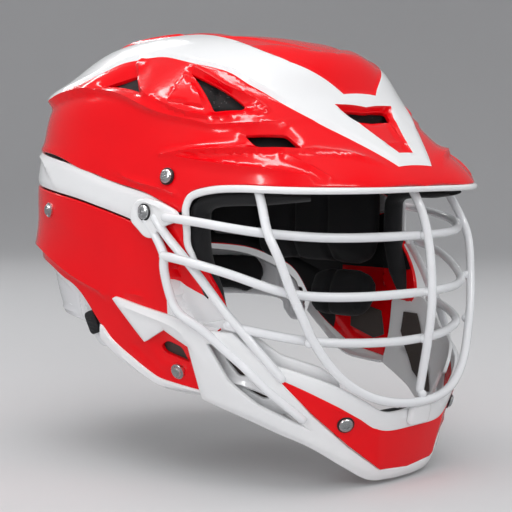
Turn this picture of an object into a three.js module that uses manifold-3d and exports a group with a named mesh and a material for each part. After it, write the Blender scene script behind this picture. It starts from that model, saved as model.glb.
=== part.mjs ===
// Lacrosse helmet: a moulded two-part shell with a brim, a padded liner, a welded wire face
// cage, a chin guard and a sliding rear cradle. Millimetres, +Z up. The origin is the middle of
// the wearer's head, the face looks along -Y, and +X is the wearer's left.
import * as THREE from 'three';
import { mergeVertices } from 'three/addons/utils/BufferGeometryUtils.js';
import Module from 'manifold-3d';

const wasm = await Module();
wasm.setup();

// ---------------------------------------------------------------- driving dimensions
const SHELL_WALL = 3.2;
const SEAM = 0.4; // clear gap left between neighbouring pieces
const WIRE_RADIUS = 2.7;
const WIRE_SIDES = 8;
const SCREW_HEAD_RADIUS = 4.2;
const SCREW_SHANK_RADIUS = 2.2;
const SNAP_RADIUS = 4.6;
const ROUND_SIDES = 12;
const CRADLE_LIFT = -7; // how far the rear cradle lies inside the outer form

// The outer form as level sections, from the crown down: height, reach forwards, reach
// backwards, half width, squareness of the front half and of the rear half.
const LEVELS = [
  [135, 0, 0, 0, 2.0, 2.0],
  [131, 60, 52, 36, 2.0, 2.0],
  [120, 100, 74, 66, 2.3, 2.1],
  [104, 115, 95, 85, 2.6, 2.2],
  [86, 124, 110, 98, 2.6, 2.3],
  [62, 148, 114, 103, 2.9, 2.4],
  [38, 172, 117, 107, 3.4, 2.4],
  [10, 172, 116, 108, 3.4, 2.4],
  [-20, 172, 111, 106, 3.4, 2.4],
  [-50, 171, 101, 102, 3.2, 2.4],
  [-80, 166, 86, 95, 3.0, 2.4],
  [-110, 160, 74, 84, 2.8, 2.4],
  [-140, 154, 64, 74, 2.8, 2.4],
];
const BROW_REACH = 128; // front reach of the liner, which has no brim

// Edges of the pieces as [plan angle from the front in degrees, height], the same both sides.
const CROWN_EDGE = [[0, 58.5], [60, 58.5], [67.5, 33.9], [78, 38], [89, 43],
  [104.5, 50], [133, 57], [180, 61]];
const VISOR_TOP = [[0, 58], [59, 57.6], [66.5, 33.8]];
const VISOR_EDGE = [[0, 38], [41, 39.5], [47, 38.5], [53, 34], [55, 26], [56, 23.4],
  [66.5, 33.2]];
const BAND_TOP = [[58, 24.8], [66, 32.2], [78, 37.6], [89, 42.6], [104.5, 49.6], [133, 56.6],
  [180, 60.6]];
const BAND_EDGE = [[58, 17], [66, 14], [77.5, 19.4], [87, 23.6], [103, 29.6], [127, 34.7],
  [180, 38]];
const LOWER_TOP = [[54.5, 19.4], [58, 15.8], [66, 12.8], [77.5, 18.2], [87, 22.4], [103, 28.4],
  [127, 33.5], [180, 36.8]];
const LOWER_EDGE = [[49, -84], [66, -79], [85.5, -59], [99.5, -31], [110, -22], [125, -14],
  [180, -10]];
const JAW_EDGE = [[49, -87.8], [66.5, -84.5], [90.5, -59]];
const CRADLE_TOP = [[91, -56], [99, -36], [110, -27], [125, -19], [180, -15]];
const CRADLE_EDGE = [[91, -66], [97, -66], [101, -60], [105, -52], [125, -50], [180, -56]];
const GUARD_TOP = [[0, -95], [9, -95], [21, -77], [28.5, -68.5], [34, -64], [37, -57.5],
  [42, -45.5], [49, -45.7], [57.5, -40], [70.5, -35], [81, -31]];
const GUARD_EDGE = [[0, -136], [11, -134], [17, -124.6], [24, -112.5], [31, -104.3],
  [38.5, -96.3], [49, -87.6], [53, -56], [61, -46.5], [68.8, -55.5], [81, -31.8]];
const INSERT_TOP = [[0, -105], [10, -104], [21, -86], [33, -68.5]];
const INSERT_EDGE = [[0, -131], [9, -129], [17, -113], [25, -93], [33, -69.3]];
const WINDOW = [[48.6, -50.5], [42.8, -75], [36, -88], [23.6, -103.5], [32, -83.5],
  [39, -62.5], [44.5, -52]];

// ---------------------------------------------------------------- the outer form
const degrees = THREE.MathUtils.degToRad;

// Smooth curve through the level sections; t counts sections from the crown down.
function section(t) {
  const last = LEVELS.length - 1;
  const k = Math.min(Math.max(Math.floor(t), 0), last - 1);
  const f = t - k;
  const row = (i) => LEVELS[Math.min(Math.max(i, 0), last)];
  const [b, c, d] = [row(k), row(k + 1), row(k + 2)];
  const a = k === 0 ? b.map((v, n) => 2 * v - c[n]) : row(k - 1);
  return b.map((v, n) => v + 0.5 * f * (c[n] - a[n] + f * (2 * a[n] - 5 * v + 4 * c[n] - d[n]
    + f * (3 * (v - c[n]) + d[n] - a[n]))));
}

// The section number at a height.
function levelAt(z) {
  let low = 0;
  let high = LEVELS.length - 1;
  for (let i = 0; i < 28; i += 1) {
    const mid = (low + high) / 2;
    if (section(mid)[0] > z) low = mid;
    else high = mid;
  }
  return (low + high) / 2;
}

// A point of the form at a plan angle and a section number; with a brow reach, the form
// without its brim.
function formPoint(angle, t, browReach) {
  const [z, front, rear, half, frontSquare, rearSquare] = section(t);
  const c = Math.cos(degrees(angle));
  const s = Math.sin(degrees(angle));
  const reach = c >= 0 ? Math.min(front, browReach ?? front) : rear;
  const power = c >= 0 ? frontSquare : rearSquare;
  if (half < 1e-6) return new THREE.Vector3(0, 0, z);
  const radius = (Math.abs(s / half) ** power + Math.abs(c / reach) ** power) ** (-1 / power);
  return new THREE.Vector3(radius * s, -radius * c, z);
}

// The same point moved outwards, square to the form, by lift.
function liftedPoint(angle, t, lift, browReach) {
  const step = 0.02;
  const point = formPoint(angle, t, browReach);
  if (t < step) return point.setZ(point.z + lift);
  const round = formPoint(angle + 1, t, browReach).sub(formPoint(angle - 1, t, browReach));
  const down = formPoint(angle, t + step, browReach).sub(formPoint(angle, t - step, browReach));
  return point.addScaledVector(round.cross(down).normalize(), -lift);
}

const onForm = (angle, z, lift) => liftedPoint(angle, levelAt(z), lift);

// Straight-line interpolation in an edge table.
function edge(table, angle) {
  const a = Math.abs(angle);
  const k = Math.max(1, table.findIndex((row) => row[0] >= a));
  const [a0, z0] = table[k - 1];
  const [a1, z1] = a > table.at(-1)[0] ? table.at(-1) : table[k];
  return z0 + (z1 - z0) * THREE.MathUtils.clamp((a - a0) / Math.max(a1 - a0, 1e-9), 0, 1);
}

// ---------------------------------------------------------------- solids
function geometryOf(points, triangles) {
  const geometry = new THREE.BufferGeometry();
  const numbers = points.flatMap((p) => p.toArray());
  geometry.setAttribute('position', new THREE.Float32BufferAttribute(numbers, 3));
  geometry.setIndex(triangles.flat());
  return geometry;
}

// Merge shared vertices, drop triangles that have closed up and turn the faces outwards.
function closedGeometry(source) {
  const bare = source.clone();
  bare.deleteAttribute('normal');
  bare.deleteAttribute('uv');
  const geometry = mergeVertices(bare, 1e-4);
  const index = Array.from(geometry.index.array);
  const position = geometry.attributes.position;
  const corner = (i) => new THREE.Vector3().fromBufferAttribute(position, i);
  const kept = [];
  let volume = 0;
  for (let i = 0; i < index.length; i += 3) {
    const [a, b, c] = index.slice(i, i + 3);
    if (a !== b && b !== c && c !== a) {
      kept.push([a, b, c]);
      volume += corner(a).dot(corner(b).cross(corner(c)));
    }
  }
  geometry.setIndex(kept.flatMap(([a, b, c]) => (volume < 0 ? [a, c, b] : [a, b, c])));
  return geometry;
}

// A wall between an outer and an inner grid of points. at(u, v, side) gives them, side 1 is
// the outer one; wraps closes it on itself along u, pole closes its first row to a point.
function wall(columns, rows, at, wraps = false, pole = false) {
  const points = [];
  const triangles = [];
  const across = wraps ? columns : columns + 1;
  for (const side of [1, 0]) {
    for (let j = 0; j <= rows; j += 1) {
      for (let i = 0; i < across; i += 1) points.push(at(i / columns, j / rows, side));
    }
  }
  const id = (side, i, j) => (side * (rows + 1) + j) * across + (i % across);
  const quad = (a, b, c, d) => triangles.push([a, b, c], [a, c, d]);
  for (let j = 0; j < rows; j += 1) {
    for (let i = 0; i < columns; i += 1) {
      quad(id(0, i, j), id(0, i, j + 1), id(0, i + 1, j + 1), id(0, i + 1, j));
      quad(id(1, i, j), id(1, i + 1, j), id(1, i + 1, j + 1), id(1, i, j + 1));
    }
  }
  for (let i = 0; i < columns; i += 1) {
    if (!pole) quad(id(0, i, 0), id(0, i + 1, 0), id(1, i + 1, 0), id(1, i, 0));
    quad(id(0, i + 1, rows), id(0, i, rows), id(1, i, rows), id(1, i + 1, rows));
  }
  for (let j = 0; j < rows && !wraps; j += 1) {
    quad(id(0, 0, j + 1), id(0, 0, j), id(1, 0, j), id(1, 0, j + 1));
    quad(id(0, columns, j), id(0, columns, j + 1), id(1, columns, j + 1), id(1, columns, j));
  }
  return geometryOf(points, triangles);
}

// A band of the form between two plan angles and two edges, from one lift to another.
function bandOfForm({ from, to, top, bottom, inner, outer, columns, rows, browReach }) {
  return wall(columns, rows, (u, v, side) => {
    const angle = from + (to - from) * u;
    const z = THREE.MathUtils.lerp(edge(top, angle), edge(bottom, angle), v);
    return liftedPoint(angle, levelAt(z), side === 1 ? outer : inner, browReach);
  });
}

const level = (z) => [[0, z], [180, z]];

// A prism through the wall: an outline of [angle, height] points carried from lift to lift.
function prism(outline, inner, outer) {
  const flat = outline.map(([a, z]) => new THREE.Vector2(a, z));
  const faces = THREE.ShapeUtils.triangulateShape(flat, []);
  const count = outline.length;
  const points = [outer, inner].flatMap((lift) => outline.map(([a, z]) => onForm(a, z, lift)));
  const triangles = faces.flatMap(([a, b, c]) => [[a, b, c], [count + a, count + c, count + b]]);
  const turn = THREE.ShapeUtils.isClockWise(flat) ? -1 : 1;
  for (let i = 0; i < count; i += 1) {
    const j = (i + turn + count) % count;
    triangles.push([i, count + i, j], [j, count + i, count + j]);
  }
  return geometryOf(points, triangles);
}

function solidOf(geometry) {
  const closed = closedGeometry(geometry);
  return new wasm.Manifold(new wasm.Mesh({
    numProp: 3,
    vertProperties: Float32Array.from(closed.attributes.position.array),
    triVerts: Uint32Array.from(closed.index.array),
  }));
}

function cut(geometry, tools) {
  let solid = solidOf(geometry);
  for (const tool of tools) solid = solid.subtract(solidOf(tool));
  const mesh = solid.getMesh();
  const result = new THREE.BufferGeometry();
  result.setAttribute('position', new THREE.BufferAttribute(mesh.vertProperties, 3));
  result.setIndex(Array.from(mesh.triVerts));
  return result;
}

const mirrored = (outline) => outline.map(([a, z]) => [-a, z]);

// A round wire along a smooth path of [x, forwards, height] points.
function wire(points, steps, radius = WIRE_RADIUS) {
  const corners = points.map(([x, f, z]) => new THREE.Vector3(x, -f, z));
  const path = new THREE.CatmullRomCurve3(corners, false, 'centripetal');
  const ring = new THREE.Shape();
  ring.absarc(0, 0, radius, 0, 2 * Math.PI);
  return new THREE.ExtrudeGeometry(ring, {
    extrudePath: path, steps, curveSegments: WIRE_SIDES / 2, bevelEnabled: false,
  });
}

// A turned piece: a profile of [radius, height] points that starts and ends on the axis.
const turned = (profile) => new THREE.LatheGeometry(profile.map(([r, h]) => new THREE.Vector2(r, h)),
  ROUND_SIDES);

// ---------------------------------------------------------------- the assembly
const helmet = new THREE.Group();

const finish = (color, roughness, metalness = 0) => new THREE.MeshStandardMaterial({
  color, roughness, metalness,
});
const RED = finish(0xe4000f, 0.18);
const WHITE = finish(0xf2f3f5, 0.2);
const CAGE_WHITE = finish(0xf4f5f7, 0.3);
const FOAM = finish(0x1b1c1f, 0.9);
const BLACK = finish(0x17171a, 0.55);
const STEEL = finish(0xb9bcc0, 0.3, 1);

function place(name, geometry, material) {
  const mesh = new THREE.Mesh(closedGeometry(geometry), material);
  mesh.name = name;
  helmet.add(mesh);
  return mesh;
}

// Aims a turned piece, made along +Y, outwards from the form at a plan angle and height.
function placeTurned(name, profile, material, { angle, z, lift }) {
  const mesh = place(name, turned(profile), material);
  const foot = onForm(angle, z, lift);
  const out = onForm(angle, z, lift + 10).sub(foot).normalize();
  mesh.position.copy(foot);
  mesh.quaternion.setFromUnitVectors(new THREE.Vector3(0, 1, 0), out);
}

const SIDES = [['left', 1], ['right', -1]];

// Screws and strap snaps: plan angle, height, lift of the surface under the head.
const UPPER_SCREW = { angle: 59.2, z: 43, lift: 0.3 };
const MASK_SCREW = { angle: 65.2, z: 22, lift: 6.2 };
const CHIN_SCREW = { angle: 18.3, z: -98, lift: 3.8 };
const LOWER_SNAP = { angle: 58, z: -73.5, lift: 0.3 };
const REAR_SNAP = { angle: 116, z: 20, lift: 0.3 };
const SHANK_DEPTH = 5.2;

// The hole that a fastener's shank passes through, made a little wider than the shank.
function shankHole({ angle, z, lift }, side, depth = SHANK_DEPTH + 2) {
  const hole = new THREE.CylinderGeometry(SCREW_SHANK_RADIUS + 0.4, SCREW_SHANK_RADIUS + 0.4, 2 * depth, 8);
  const foot = onForm(side * angle, z, lift);
  const out = onForm(side * angle, z, lift + 10).sub(foot).normalize();
  hole.applyQuaternion(new THREE.Quaternion().setFromUnitVectors(new THREE.Vector3(0, 1, 0), out));
  return hole.translate(foot.x, foot.y, foot.z);
}

const bothHoles = (spot) => SIDES.map(([, side]) => shankHole(spot, side));

// Crown shell: apex to the band behind and to the visor in front, with two vents a side.
const REAR_VENT = [[97, 97.5], [82, 105], [77, 94.5]];
const MID_VENT = [[55, 104.4], [39, 84.5], [45.5, 81.8]];
const crown = wall(48, 8, (u, v, side) => {
  const angle = 360 * u - 180;
  return liftedPoint(angle, v * levelAt(edge(CROWN_EDGE, angle)), side === 1 ? 0 : -SHELL_WALL);
}, true, true);
const throughWall = (outline) => prism(outline, -8, 5);
const crownCuts = [REAR_VENT, MID_VENT, mirrored(REAR_VENT), mirrored(MID_VENT)].map(throughWall);
place('crown_shell', cut(crown, crownCuts), RED);

// Visor: the brim and the two temples, screwed to the shell at the sides.
const visor = bandOfForm({
  from: -66.5, to: 66.5, top: VISOR_TOP, bottom: VISOR_EDGE,
  inner: -SHELL_WALL, outer: 0, columns: 30, rows: 3,
});
place('visor', cut(visor, bothHoles(UPPER_SCREW)), RED);

// Lower shell: ears, nape and the lip, with a cooling vent in front of each ear tip.
const LOWER_VENT = [[62, -57.5], [59, -52.5], [54.3, -56.5], [53.6, -67], [60.8, -61]];
const aroundRear = (first, u) => {
  const angle = first + (360 - 2 * first) * u;
  return angle > 180 ? angle - 360 : angle;
};
function rearBand({ first, top, bottom, inner, outer, columns, rows }) {
  return wall(columns, rows, (u, v, side) => {
    const angle = aroundRear(first, u);
    const z = THREE.MathUtils.lerp(edge(top, angle), edge(bottom, angle), v);
    return liftedPoint(angle, levelAt(z), side === 1 ? outer : inner);
  });
}
const lowerShell = rearBand({
  first: 54.5, top: LOWER_TOP, bottom: LOWER_EDGE,
  inner: -SHELL_WALL, outer: 0, columns: 36, rows: 4,
});
const lowerCuts = [throughWall(LOWER_VENT), throughWall(mirrored(LOWER_VENT)),
  ...bothHoles(LOWER_SNAP), ...bothHoles(REAR_SNAP)];
place('lower_shell', cut(lowerShell, lowerCuts), RED);

// White band round the back, from one face cage bolt to the other.
place('rear_band', rearBand({
  first: 58, top: BAND_TOP, bottom: BAND_EDGE, inner: -SHELL_WALL, outer: 0.3, columns: 36, rows: 1,
}), WHITE);

// Rolled jaw trims under the ears.
for (const [name, side] of SIDES) {
  place(`jaw_trim_${name}`, bandOfForm({
    from: side * 49.6, to: side * 90, top: LOWER_EDGE.map(([a, z]) => [a, z - SEAM]), bottom: JAW_EDGE,
    inner: -SHELL_WALL, outer: 1.2, columns: 10, rows: 1,
  }), WHITE);
}

// Edge trim: a bead round the face opening, under the brim and down both sides.
const BEAD_RADIUS = 1.6;
const BEAD_DROP = BEAD_RADIUS + SEAM;
const beadSide = [[51.6, 4], [51.6, 20], [50.8, 31], [46, 38 - BEAD_DROP], [40, 39.3 - BEAD_DROP],
  [34, 38.6 - BEAD_DROP], [26, 38.4 - BEAD_DROP], [13, 38 - BEAD_DROP], [0, 38 - BEAD_DROP]];
const beadPath = [...beadSide, ...mirrored(beadSide).reverse().slice(1)].map(([a, z]) => {
  const p = onForm(a, z, -BEAD_RADIUS);
  return [p.x, -p.y, p.z];
});
place('opening_trim', wire(beadPath, 36, BEAD_RADIUS), WHITE);

// Chin guard: two arms a side round a window, and a bowl at the chin that holds the insert.
const GUARD_INNER = 0.4;
const GUARD_OUTER = 3.6;
const symmetric = (u, half) => half * (2 * u - 1);
const guard = wall(54, 3, (u, v, side) => {
  const angle = symmetric(u, 81);
  const z = THREE.MathUtils.lerp(edge(GUARD_TOP, angle), edge(GUARD_EDGE, angle), v);
  return liftedPoint(angle, levelAt(z), side === 1 ? GUARD_OUTER : GUARD_INNER);
});
const insertBand = (grow, inner, outer) => wall(20, 2, (u, v, side) => {
  const angle = symmetric(u, 33 + grow * 0.6);
  const z = THREE.MathUtils.lerp(edge(INSERT_TOP, angle) + grow, edge(INSERT_EDGE, angle) - grow, v);
  return liftedPoint(angle, levelAt(z), side === 1 ? outer : inner);
});
const guardCuts = [prism(WINDOW, -6, 8), prism(mirrored(WINDOW), -6, 8),
  insertBand(SEAM, -4, 8)];
place('chin_guard', cut(guard, guardCuts), WHITE);
place('chin_insert', cut(insertBand(0, GUARD_INNER, GUARD_OUTER), bothHoles(CHIN_SCREW)), RED);

// Face cage: three bars in front, one loop down both sides and under the chin, one upright in
// the middle and two stays a side. The loop and the upright lie one wire outside the bars.
// Each wire is a path of [x, forwards, height] points, and a bar's list is its left half.
const bothSides = (half) => [...half, ...half.slice(0, -1).reverse().map(([x, f, z]) => [-x, f, z])];
const BARS = {
  cage_bar_top: [[87, 101, 45.5], [82, 116, 45.5], [63, 135, 46], [30, 147, 46], [0, 150, 46]],
  cage_bar_1: [[113.2, 68.6, 19.8], [109.5, 92, 17.5], [103, 112, 14.5], [91.5, 128.5, 11.8],
    [66, 149, 9], [34, 163, 8.5], [0, 167, 8.5]],
  cage_bar_2: [[114.2, 68, -2.6], [113, 85, -4.8], [103, 113, -11.8], [84, 139.5, -22.6],
    [52, 159, -25], [24, 168, -25], [0, 170.5, -25]],
  cage_bar_3: [[99, 104.5, -41.5], [89, 125, -45.5], [72, 145, -49.8], [48, 157, -52],
    [22, 165.5, -53], [0, 167.5, -53]],
};
for (const [name, half] of Object.entries(BARS)) {
  place(name, wire(bothSides(half), 26), CAGE_WHITE);
}
const LOOP = [[89, 117, 41], [91.5, 123.5, 31], [96.2, 132.8, 11.8], [94.2, 138.9, 0],
  [89, 143.8, -20], [83, 148.1, -36], [77, 151, -50], [62, 158, -71], [41, 165, -84],
  [19, 170, -89], [0, 171, -90]];
place('cage_loop', wire(bothSides(LOOP), 40), CAGE_WHITE);
const UPRIGHT = [[0, 156.5, 42], [0, 166, 28], [0, 173.2, 8.5], [0, 176.7, -25], [0, 173.8, -53],
  [0, 168, -83.5]];
place('cage_upright', wire(UPRIGHT, 14), CAGE_WHITE);
const UPPER_STAY = [[110.6, 61, 12.5], [109.6, 68, 5.5], [107.7, 79, -3.6], [103.7, 95, -21.2],
  [98.8, 106, -33]];
const LOWER_STAY = [[113.4, 66, -9], [111.4, 68, -20], [109.6, 71.5, -34], [107.8, 83, -39.5],
  [105.5, 93, -44.4], [101.9, 103, -53]];
for (const [name, side] of SIDES) {
  const toSide = ([x, f, z]) => [side * x, f, z];
  place(`cage_stay_upper_${name}`, wire(UPPER_STAY.map(toSide), 8), CAGE_WHITE);
  place(`cage_stay_lower_${name}`, wire(LOWER_STAY.map(toSide), 10), CAGE_WHITE);
}

// Clips: one over each cage bolt, and one that ties the loop to the top of the chin guard.
const CLIP_OUTLINE = [[70, 27], [62.5, 27.5], [57.5, 22.5], [61, 16.5], [67, 14.5], [71, 19]];
const CLIP_INNER = 0.8;
const CLIP_OUTER = 6;
const RIM_CLIP_OUTLINE = [[3, -93], [3, -101.5], [-3, -101.5], [-3, -93]];
const RIM_CLIP_INNER = 4;
const RIM_CLIP_OUTER = 7.5;
const onSide = (outline, side) => outline.map(([a, z]) => [side * a, z]);
for (const [name, side] of SIDES) {
  const clip = prism(onSide(CLIP_OUTLINE, side), CLIP_INNER, CLIP_OUTER);
  place(`cage_clip_${name}`, cut(clip, [shankHole(MASK_SCREW, side)]), WHITE);
}
place('rim_clip', prism(RIM_CLIP_OUTLINE, RIM_CLIP_INNER, RIM_CLIP_OUTER), WHITE);

// Screws and strap snaps.
const SCREW_HEAD_HEIGHT = 2.4;
const SNAP_FLANGE = 1; // how far the snap's ring stands out round its button, and its thickness
const SNAP_HEIGHT = 2.8;
const shankProfile = [[0, -SHANK_DEPTH], [SCREW_SHANK_RADIUS, -SHANK_DEPTH],
  [SCREW_SHANK_RADIUS, 0]];
const screwProfile = [...shankProfile, [SCREW_HEAD_RADIUS, 0], [SCREW_HEAD_RADIUS, 1],
  [2.9, 2.1], [0, SCREW_HEAD_HEIGHT]];
const snapProfile = [...shankProfile, [SNAP_RADIUS + SNAP_FLANGE, 0],
  [SNAP_RADIUS + SNAP_FLANGE, SNAP_FLANGE], [SNAP_RADIUS, 1.2], [SNAP_RADIUS, SNAP_HEIGHT],
  [0, SNAP_HEIGHT]];
const FASTENERS = {
  screw_upper: [screwProfile, UPPER_SCREW],
  screw_cage: [screwProfile, MASK_SCREW],
  screw_chin: [screwProfile, CHIN_SCREW],
  snap_lower: [snapProfile, LOWER_SNAP],
  snap_rear: [snapProfile, REAR_SNAP],
};
for (const [kind, [profile, spot]] of Object.entries(FASTENERS)) {
  for (const [name, side] of SIDES) {
    placeTurned(`${kind}_${name}`, profile, STEEL, { ...spot, angle: side * spot.angle });
  }
}

// Rear cradle: a stiff band round the nape, inside the lip, that slides forwards to fit.
const CRADLE_WALL = 3;
place('rear_cradle', rearBand({
  first: 91, top: CRADLE_TOP, bottom: CRADLE_EDGE,
  inner: CRADLE_LIFT - CRADLE_WALL / 2, outer: CRADLE_LIFT + CRADLE_WALL / 2,
  columns: 30, rows: 2,
}), WHITE);

// Fit latches: a lever on each side over the end of the cradle, hinged along its upper edge.
const LATCH_OUTLINE = [[101, -45], [96, -42], [93.5, -55], [98.5, -58]];
const LATCH_GAP = 0.9; // clear of the cradle's outer face
const LATCH_THICK = 3.8;
const latchInner = CRADLE_LIFT + CRADLE_WALL / 2 + LATCH_GAP;
for (const [name, side] of SIDES) {
  const lever = prism(onSide(LATCH_OUTLINE, side), latchInner, latchInner + LATCH_THICK);
  place(`fit_latch_${name}`, lever, BLACK);
}

// Liner: a foam cap, a brow pad, and pads at the temples, nape, jaw and chin.
const LINER_GAP = 5.6;
const LINER_THICK = 12;
const LINER_EDGE = [[0, 84], [54, 84], [68, 62], [80, 46], [105, 52], [135, 60], [180, 64]];
place('crown_liner', wall(28, 5, (u, v, side) => {
  const angle = 360 * u - 180;
  const lift = side === 1 ? -LINER_GAP : -LINER_GAP - LINER_THICK;
  return liftedPoint(angle, v * levelAt(edge(LINER_EDGE, angle)), lift, BROW_REACH);
}, true, true), FOAM);

// Pads: plan angles and heights of their edges, lift of the outer face, and thickness.
const BROW_PAD = { half: 52, high: 71, low: 50, thick: 16, reach: BROW_REACH + 10 };
const NAPE_PAD = { first: 116, high: 51, low: -4, outer: -LINER_GAP, thick: 16 };
const CRADLE_PAD = { first: 112, high: -21, low: -48.5, outer: CRADLE_LIFT - 2.2, thick: 9.8 };
const TEMPLE_PAD = { from: 58, to: 113, high: 40, low: -20, outer: -LINER_GAP, thick: 14 };
const JAW_PAD = { from: 54, to: 82, high: -30, low: -58, outer: -LINER_GAP, thick: 18 };
const CHIN_PAD = { half: 20, high: -98, low: -114, outer: -3.4, thick: 10.6 };
const padPoint = ({ high, low, outer, thick }, angle, v, side, browReach) => {
  const lift = side === 1 ? outer : outer - thick;
  return liftedPoint(angle, levelAt(THREE.MathUtils.lerp(high, low, v)), lift, browReach);
};
const acrossFront = (size, browReach) => (u, v, side) => (
  padPoint(size, symmetric(u, size.half), v, side, browReach));
const acrossNape = (size) => (u, v, side) => padPoint(size, aroundRear(size.first, u), v, side);
const upSide = (size, sign) => (u, v, side) => (
  padPoint(size, sign * (size.from + (size.to - size.from) * u), v, side, BROW_REACH));
place('brow_pad', wall(14, 3, (u, v, side) => {
  const size = { ...BROW_PAD, outer: -LINER_GAP };
  return acrossFront(size, side === 1 ? BROW_PAD.reach : BROW_REACH)(u, v, side);
}), FOAM);
place('nape_pad', wall(18, 3, acrossNape(NAPE_PAD)), FOAM);
place('cradle_pad', wall(18, 2, acrossNape(CRADLE_PAD)), FOAM);
for (const [name, sign] of SIDES) {
  place(`temple_pad_${name}`, wall(8, 3, upSide(TEMPLE_PAD, sign)), FOAM);
  place(`jaw_pad_${name}`, wall(6, 2, upSide(JAW_PAD, sign)), FOAM);
}
place('chin_pad', wall(16, 2, acrossFront(CHIN_PAD)), FOAM);

export default helmet;
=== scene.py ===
"""Lacrosse helmet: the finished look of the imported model. Metres in the scene, millimetres in the
tables below. +Z is up, the face looks along -Y and +X is the wearer's left."""

import math

import bmesh
import bpy
import numpy as np
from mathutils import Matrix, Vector, kdtree
from mathutils.geometry import delaunay_2d_cdt


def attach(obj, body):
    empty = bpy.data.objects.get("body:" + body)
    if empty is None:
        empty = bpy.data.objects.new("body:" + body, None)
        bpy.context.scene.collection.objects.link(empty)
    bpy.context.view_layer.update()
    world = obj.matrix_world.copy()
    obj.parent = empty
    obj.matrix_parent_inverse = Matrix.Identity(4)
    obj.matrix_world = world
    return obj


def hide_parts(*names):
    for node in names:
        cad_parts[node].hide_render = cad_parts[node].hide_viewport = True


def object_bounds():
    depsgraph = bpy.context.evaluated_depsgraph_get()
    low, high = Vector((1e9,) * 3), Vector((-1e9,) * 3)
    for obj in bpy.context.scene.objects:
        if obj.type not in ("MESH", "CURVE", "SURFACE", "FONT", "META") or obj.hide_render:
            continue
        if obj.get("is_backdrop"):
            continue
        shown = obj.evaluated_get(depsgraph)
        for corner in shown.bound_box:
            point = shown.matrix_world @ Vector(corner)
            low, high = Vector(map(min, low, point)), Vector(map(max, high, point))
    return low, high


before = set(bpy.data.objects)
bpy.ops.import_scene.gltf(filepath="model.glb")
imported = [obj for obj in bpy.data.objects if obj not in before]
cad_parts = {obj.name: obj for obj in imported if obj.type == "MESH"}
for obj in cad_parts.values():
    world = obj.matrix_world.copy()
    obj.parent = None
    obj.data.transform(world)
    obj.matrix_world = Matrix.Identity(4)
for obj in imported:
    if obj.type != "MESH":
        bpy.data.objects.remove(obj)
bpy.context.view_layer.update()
scene = bpy.context.scene

# ---------------------------------------------------------------------------------------------
# Camera. A long lens nine tenths of a metre away, a little above the wearer's eyes and off the
# right-hand side of the face.
# ---------------------------------------------------------------------------------------------
lens = bpy.data.cameras.new("camera")
lens.lens = 96.5
lens.sensor_width = 36
lens.clip_start = 0.05
camera = bpy.data.objects.new("camera", lens)
turn, tilt = math.radians(-47.5), math.radians(4.5)
back = Vector((math.sin(turn) * math.cos(tilt), -math.cos(turn) * math.cos(tilt), math.sin(tilt)))
camera.location = Vector((0, -0.036, -0.011)) + back * 0.9
camera.rotation_mode = "QUATERNION"
camera.rotation_quaternion = (-back).to_track_quat("-Z", "Y")
scene.collection.objects.link(camera)
scene.camera = camera
scene.view_settings.view_transform = "Standard"
MM = 0.001
SIDES = ("left", "right")

# ---------------------------------------------------------------------------------------------
# Upper shell. Crown, temples and brim, injection moulded in one glossy red plastic, with a white
# stripe on a raised land. Ridges, a ledge and cut vents stiffen it, and screws at the temples
# hold it down.
# ---------------------------------------------------------------------------------------------
# The outer form as level sections: height, reach forwards, reach backwards, half width, and the
# squareness of the front half and of the rear half.
LEVELS = np.array([
    (135, 0, 0, 0, 2.0, 2.0), (131, 60, 52, 36, 2.0, 2.0), (120, 100, 74, 66, 2.3, 2.1),
    (104, 115, 95, 85, 2.6, 2.2), (86, 124, 110, 98, 2.6, 2.3), (62, 148, 114, 103, 2.9, 2.4),
    (38, 172, 117, 107, 3.4, 2.4), (10, 172, 116, 108, 3.4, 2.4), (-20, 172, 111, 106, 3.4, 2.4),
    (-50, 171, 101, 102, 3.2, 2.4), (-80, 166, 86, 95, 3.0, 2.4), (-110, 160, 74, 84, 2.8, 2.4),
    (-140, 154, 64, 74, 2.8, 2.4)], float)
BROW_REACH = 128  # front reach of what lies inside the brim


def level_slopes():
    """Slopes of the smoothest curve through the levels, flat at the very top of the crown."""
    count = len(LEVELS)
    band = np.diag(np.full(count, 4.0)) + np.eye(count, k=1) + np.eye(count, k=-1)
    band[0, :2] = 2, 1
    band[-1, -2:] = 1, 2
    rise = np.zeros_like(LEVELS)
    rise[1:-1] = 3 * (LEVELS[2:] - LEVELS[:-2])
    rise[0] = 3 * (LEVELS[1] - LEVELS[0])
    rise[-1] = 3 * (LEVELS[-1] - LEVELS[-2])
    slopes = np.linalg.solve(band, rise)
    band[0, :2] = 1, 0
    rise[0] = 0
    slopes[:, 0] = np.linalg.solve(band, rise)[:, 0]
    return slopes


SLOPES = level_slopes()


def section(t):
    """Level section number t, counted from the crown down."""
    t = np.clip(np.asarray(t, float), 0, len(LEVELS) - 1)
    k = np.clip(np.floor(t).astype(int), 0, len(LEVELS) - 2)
    f = (t - k)[..., None]
    a, b, m, n = LEVELS[k], LEVELS[k + 1], SLOPES[k], SLOPES[k + 1]
    return (a * (1 + 2 * f) * (1 - f) ** 2 + b * f * f * (3 - 2 * f)
            + m * f * (1 - f) ** 2 + n * f * f * (f - 1))


STATIONS = np.linspace(0, len(LEVELS) - 1, 200 * (len(LEVELS) - 1) + 1)
STATION_Z = section(STATIONS)[:, 0]


def level_at(z):
    """Number of the level section at a height."""
    return np.interp(-np.asarray(z, float), -STATION_Z, STATIONS)


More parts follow.
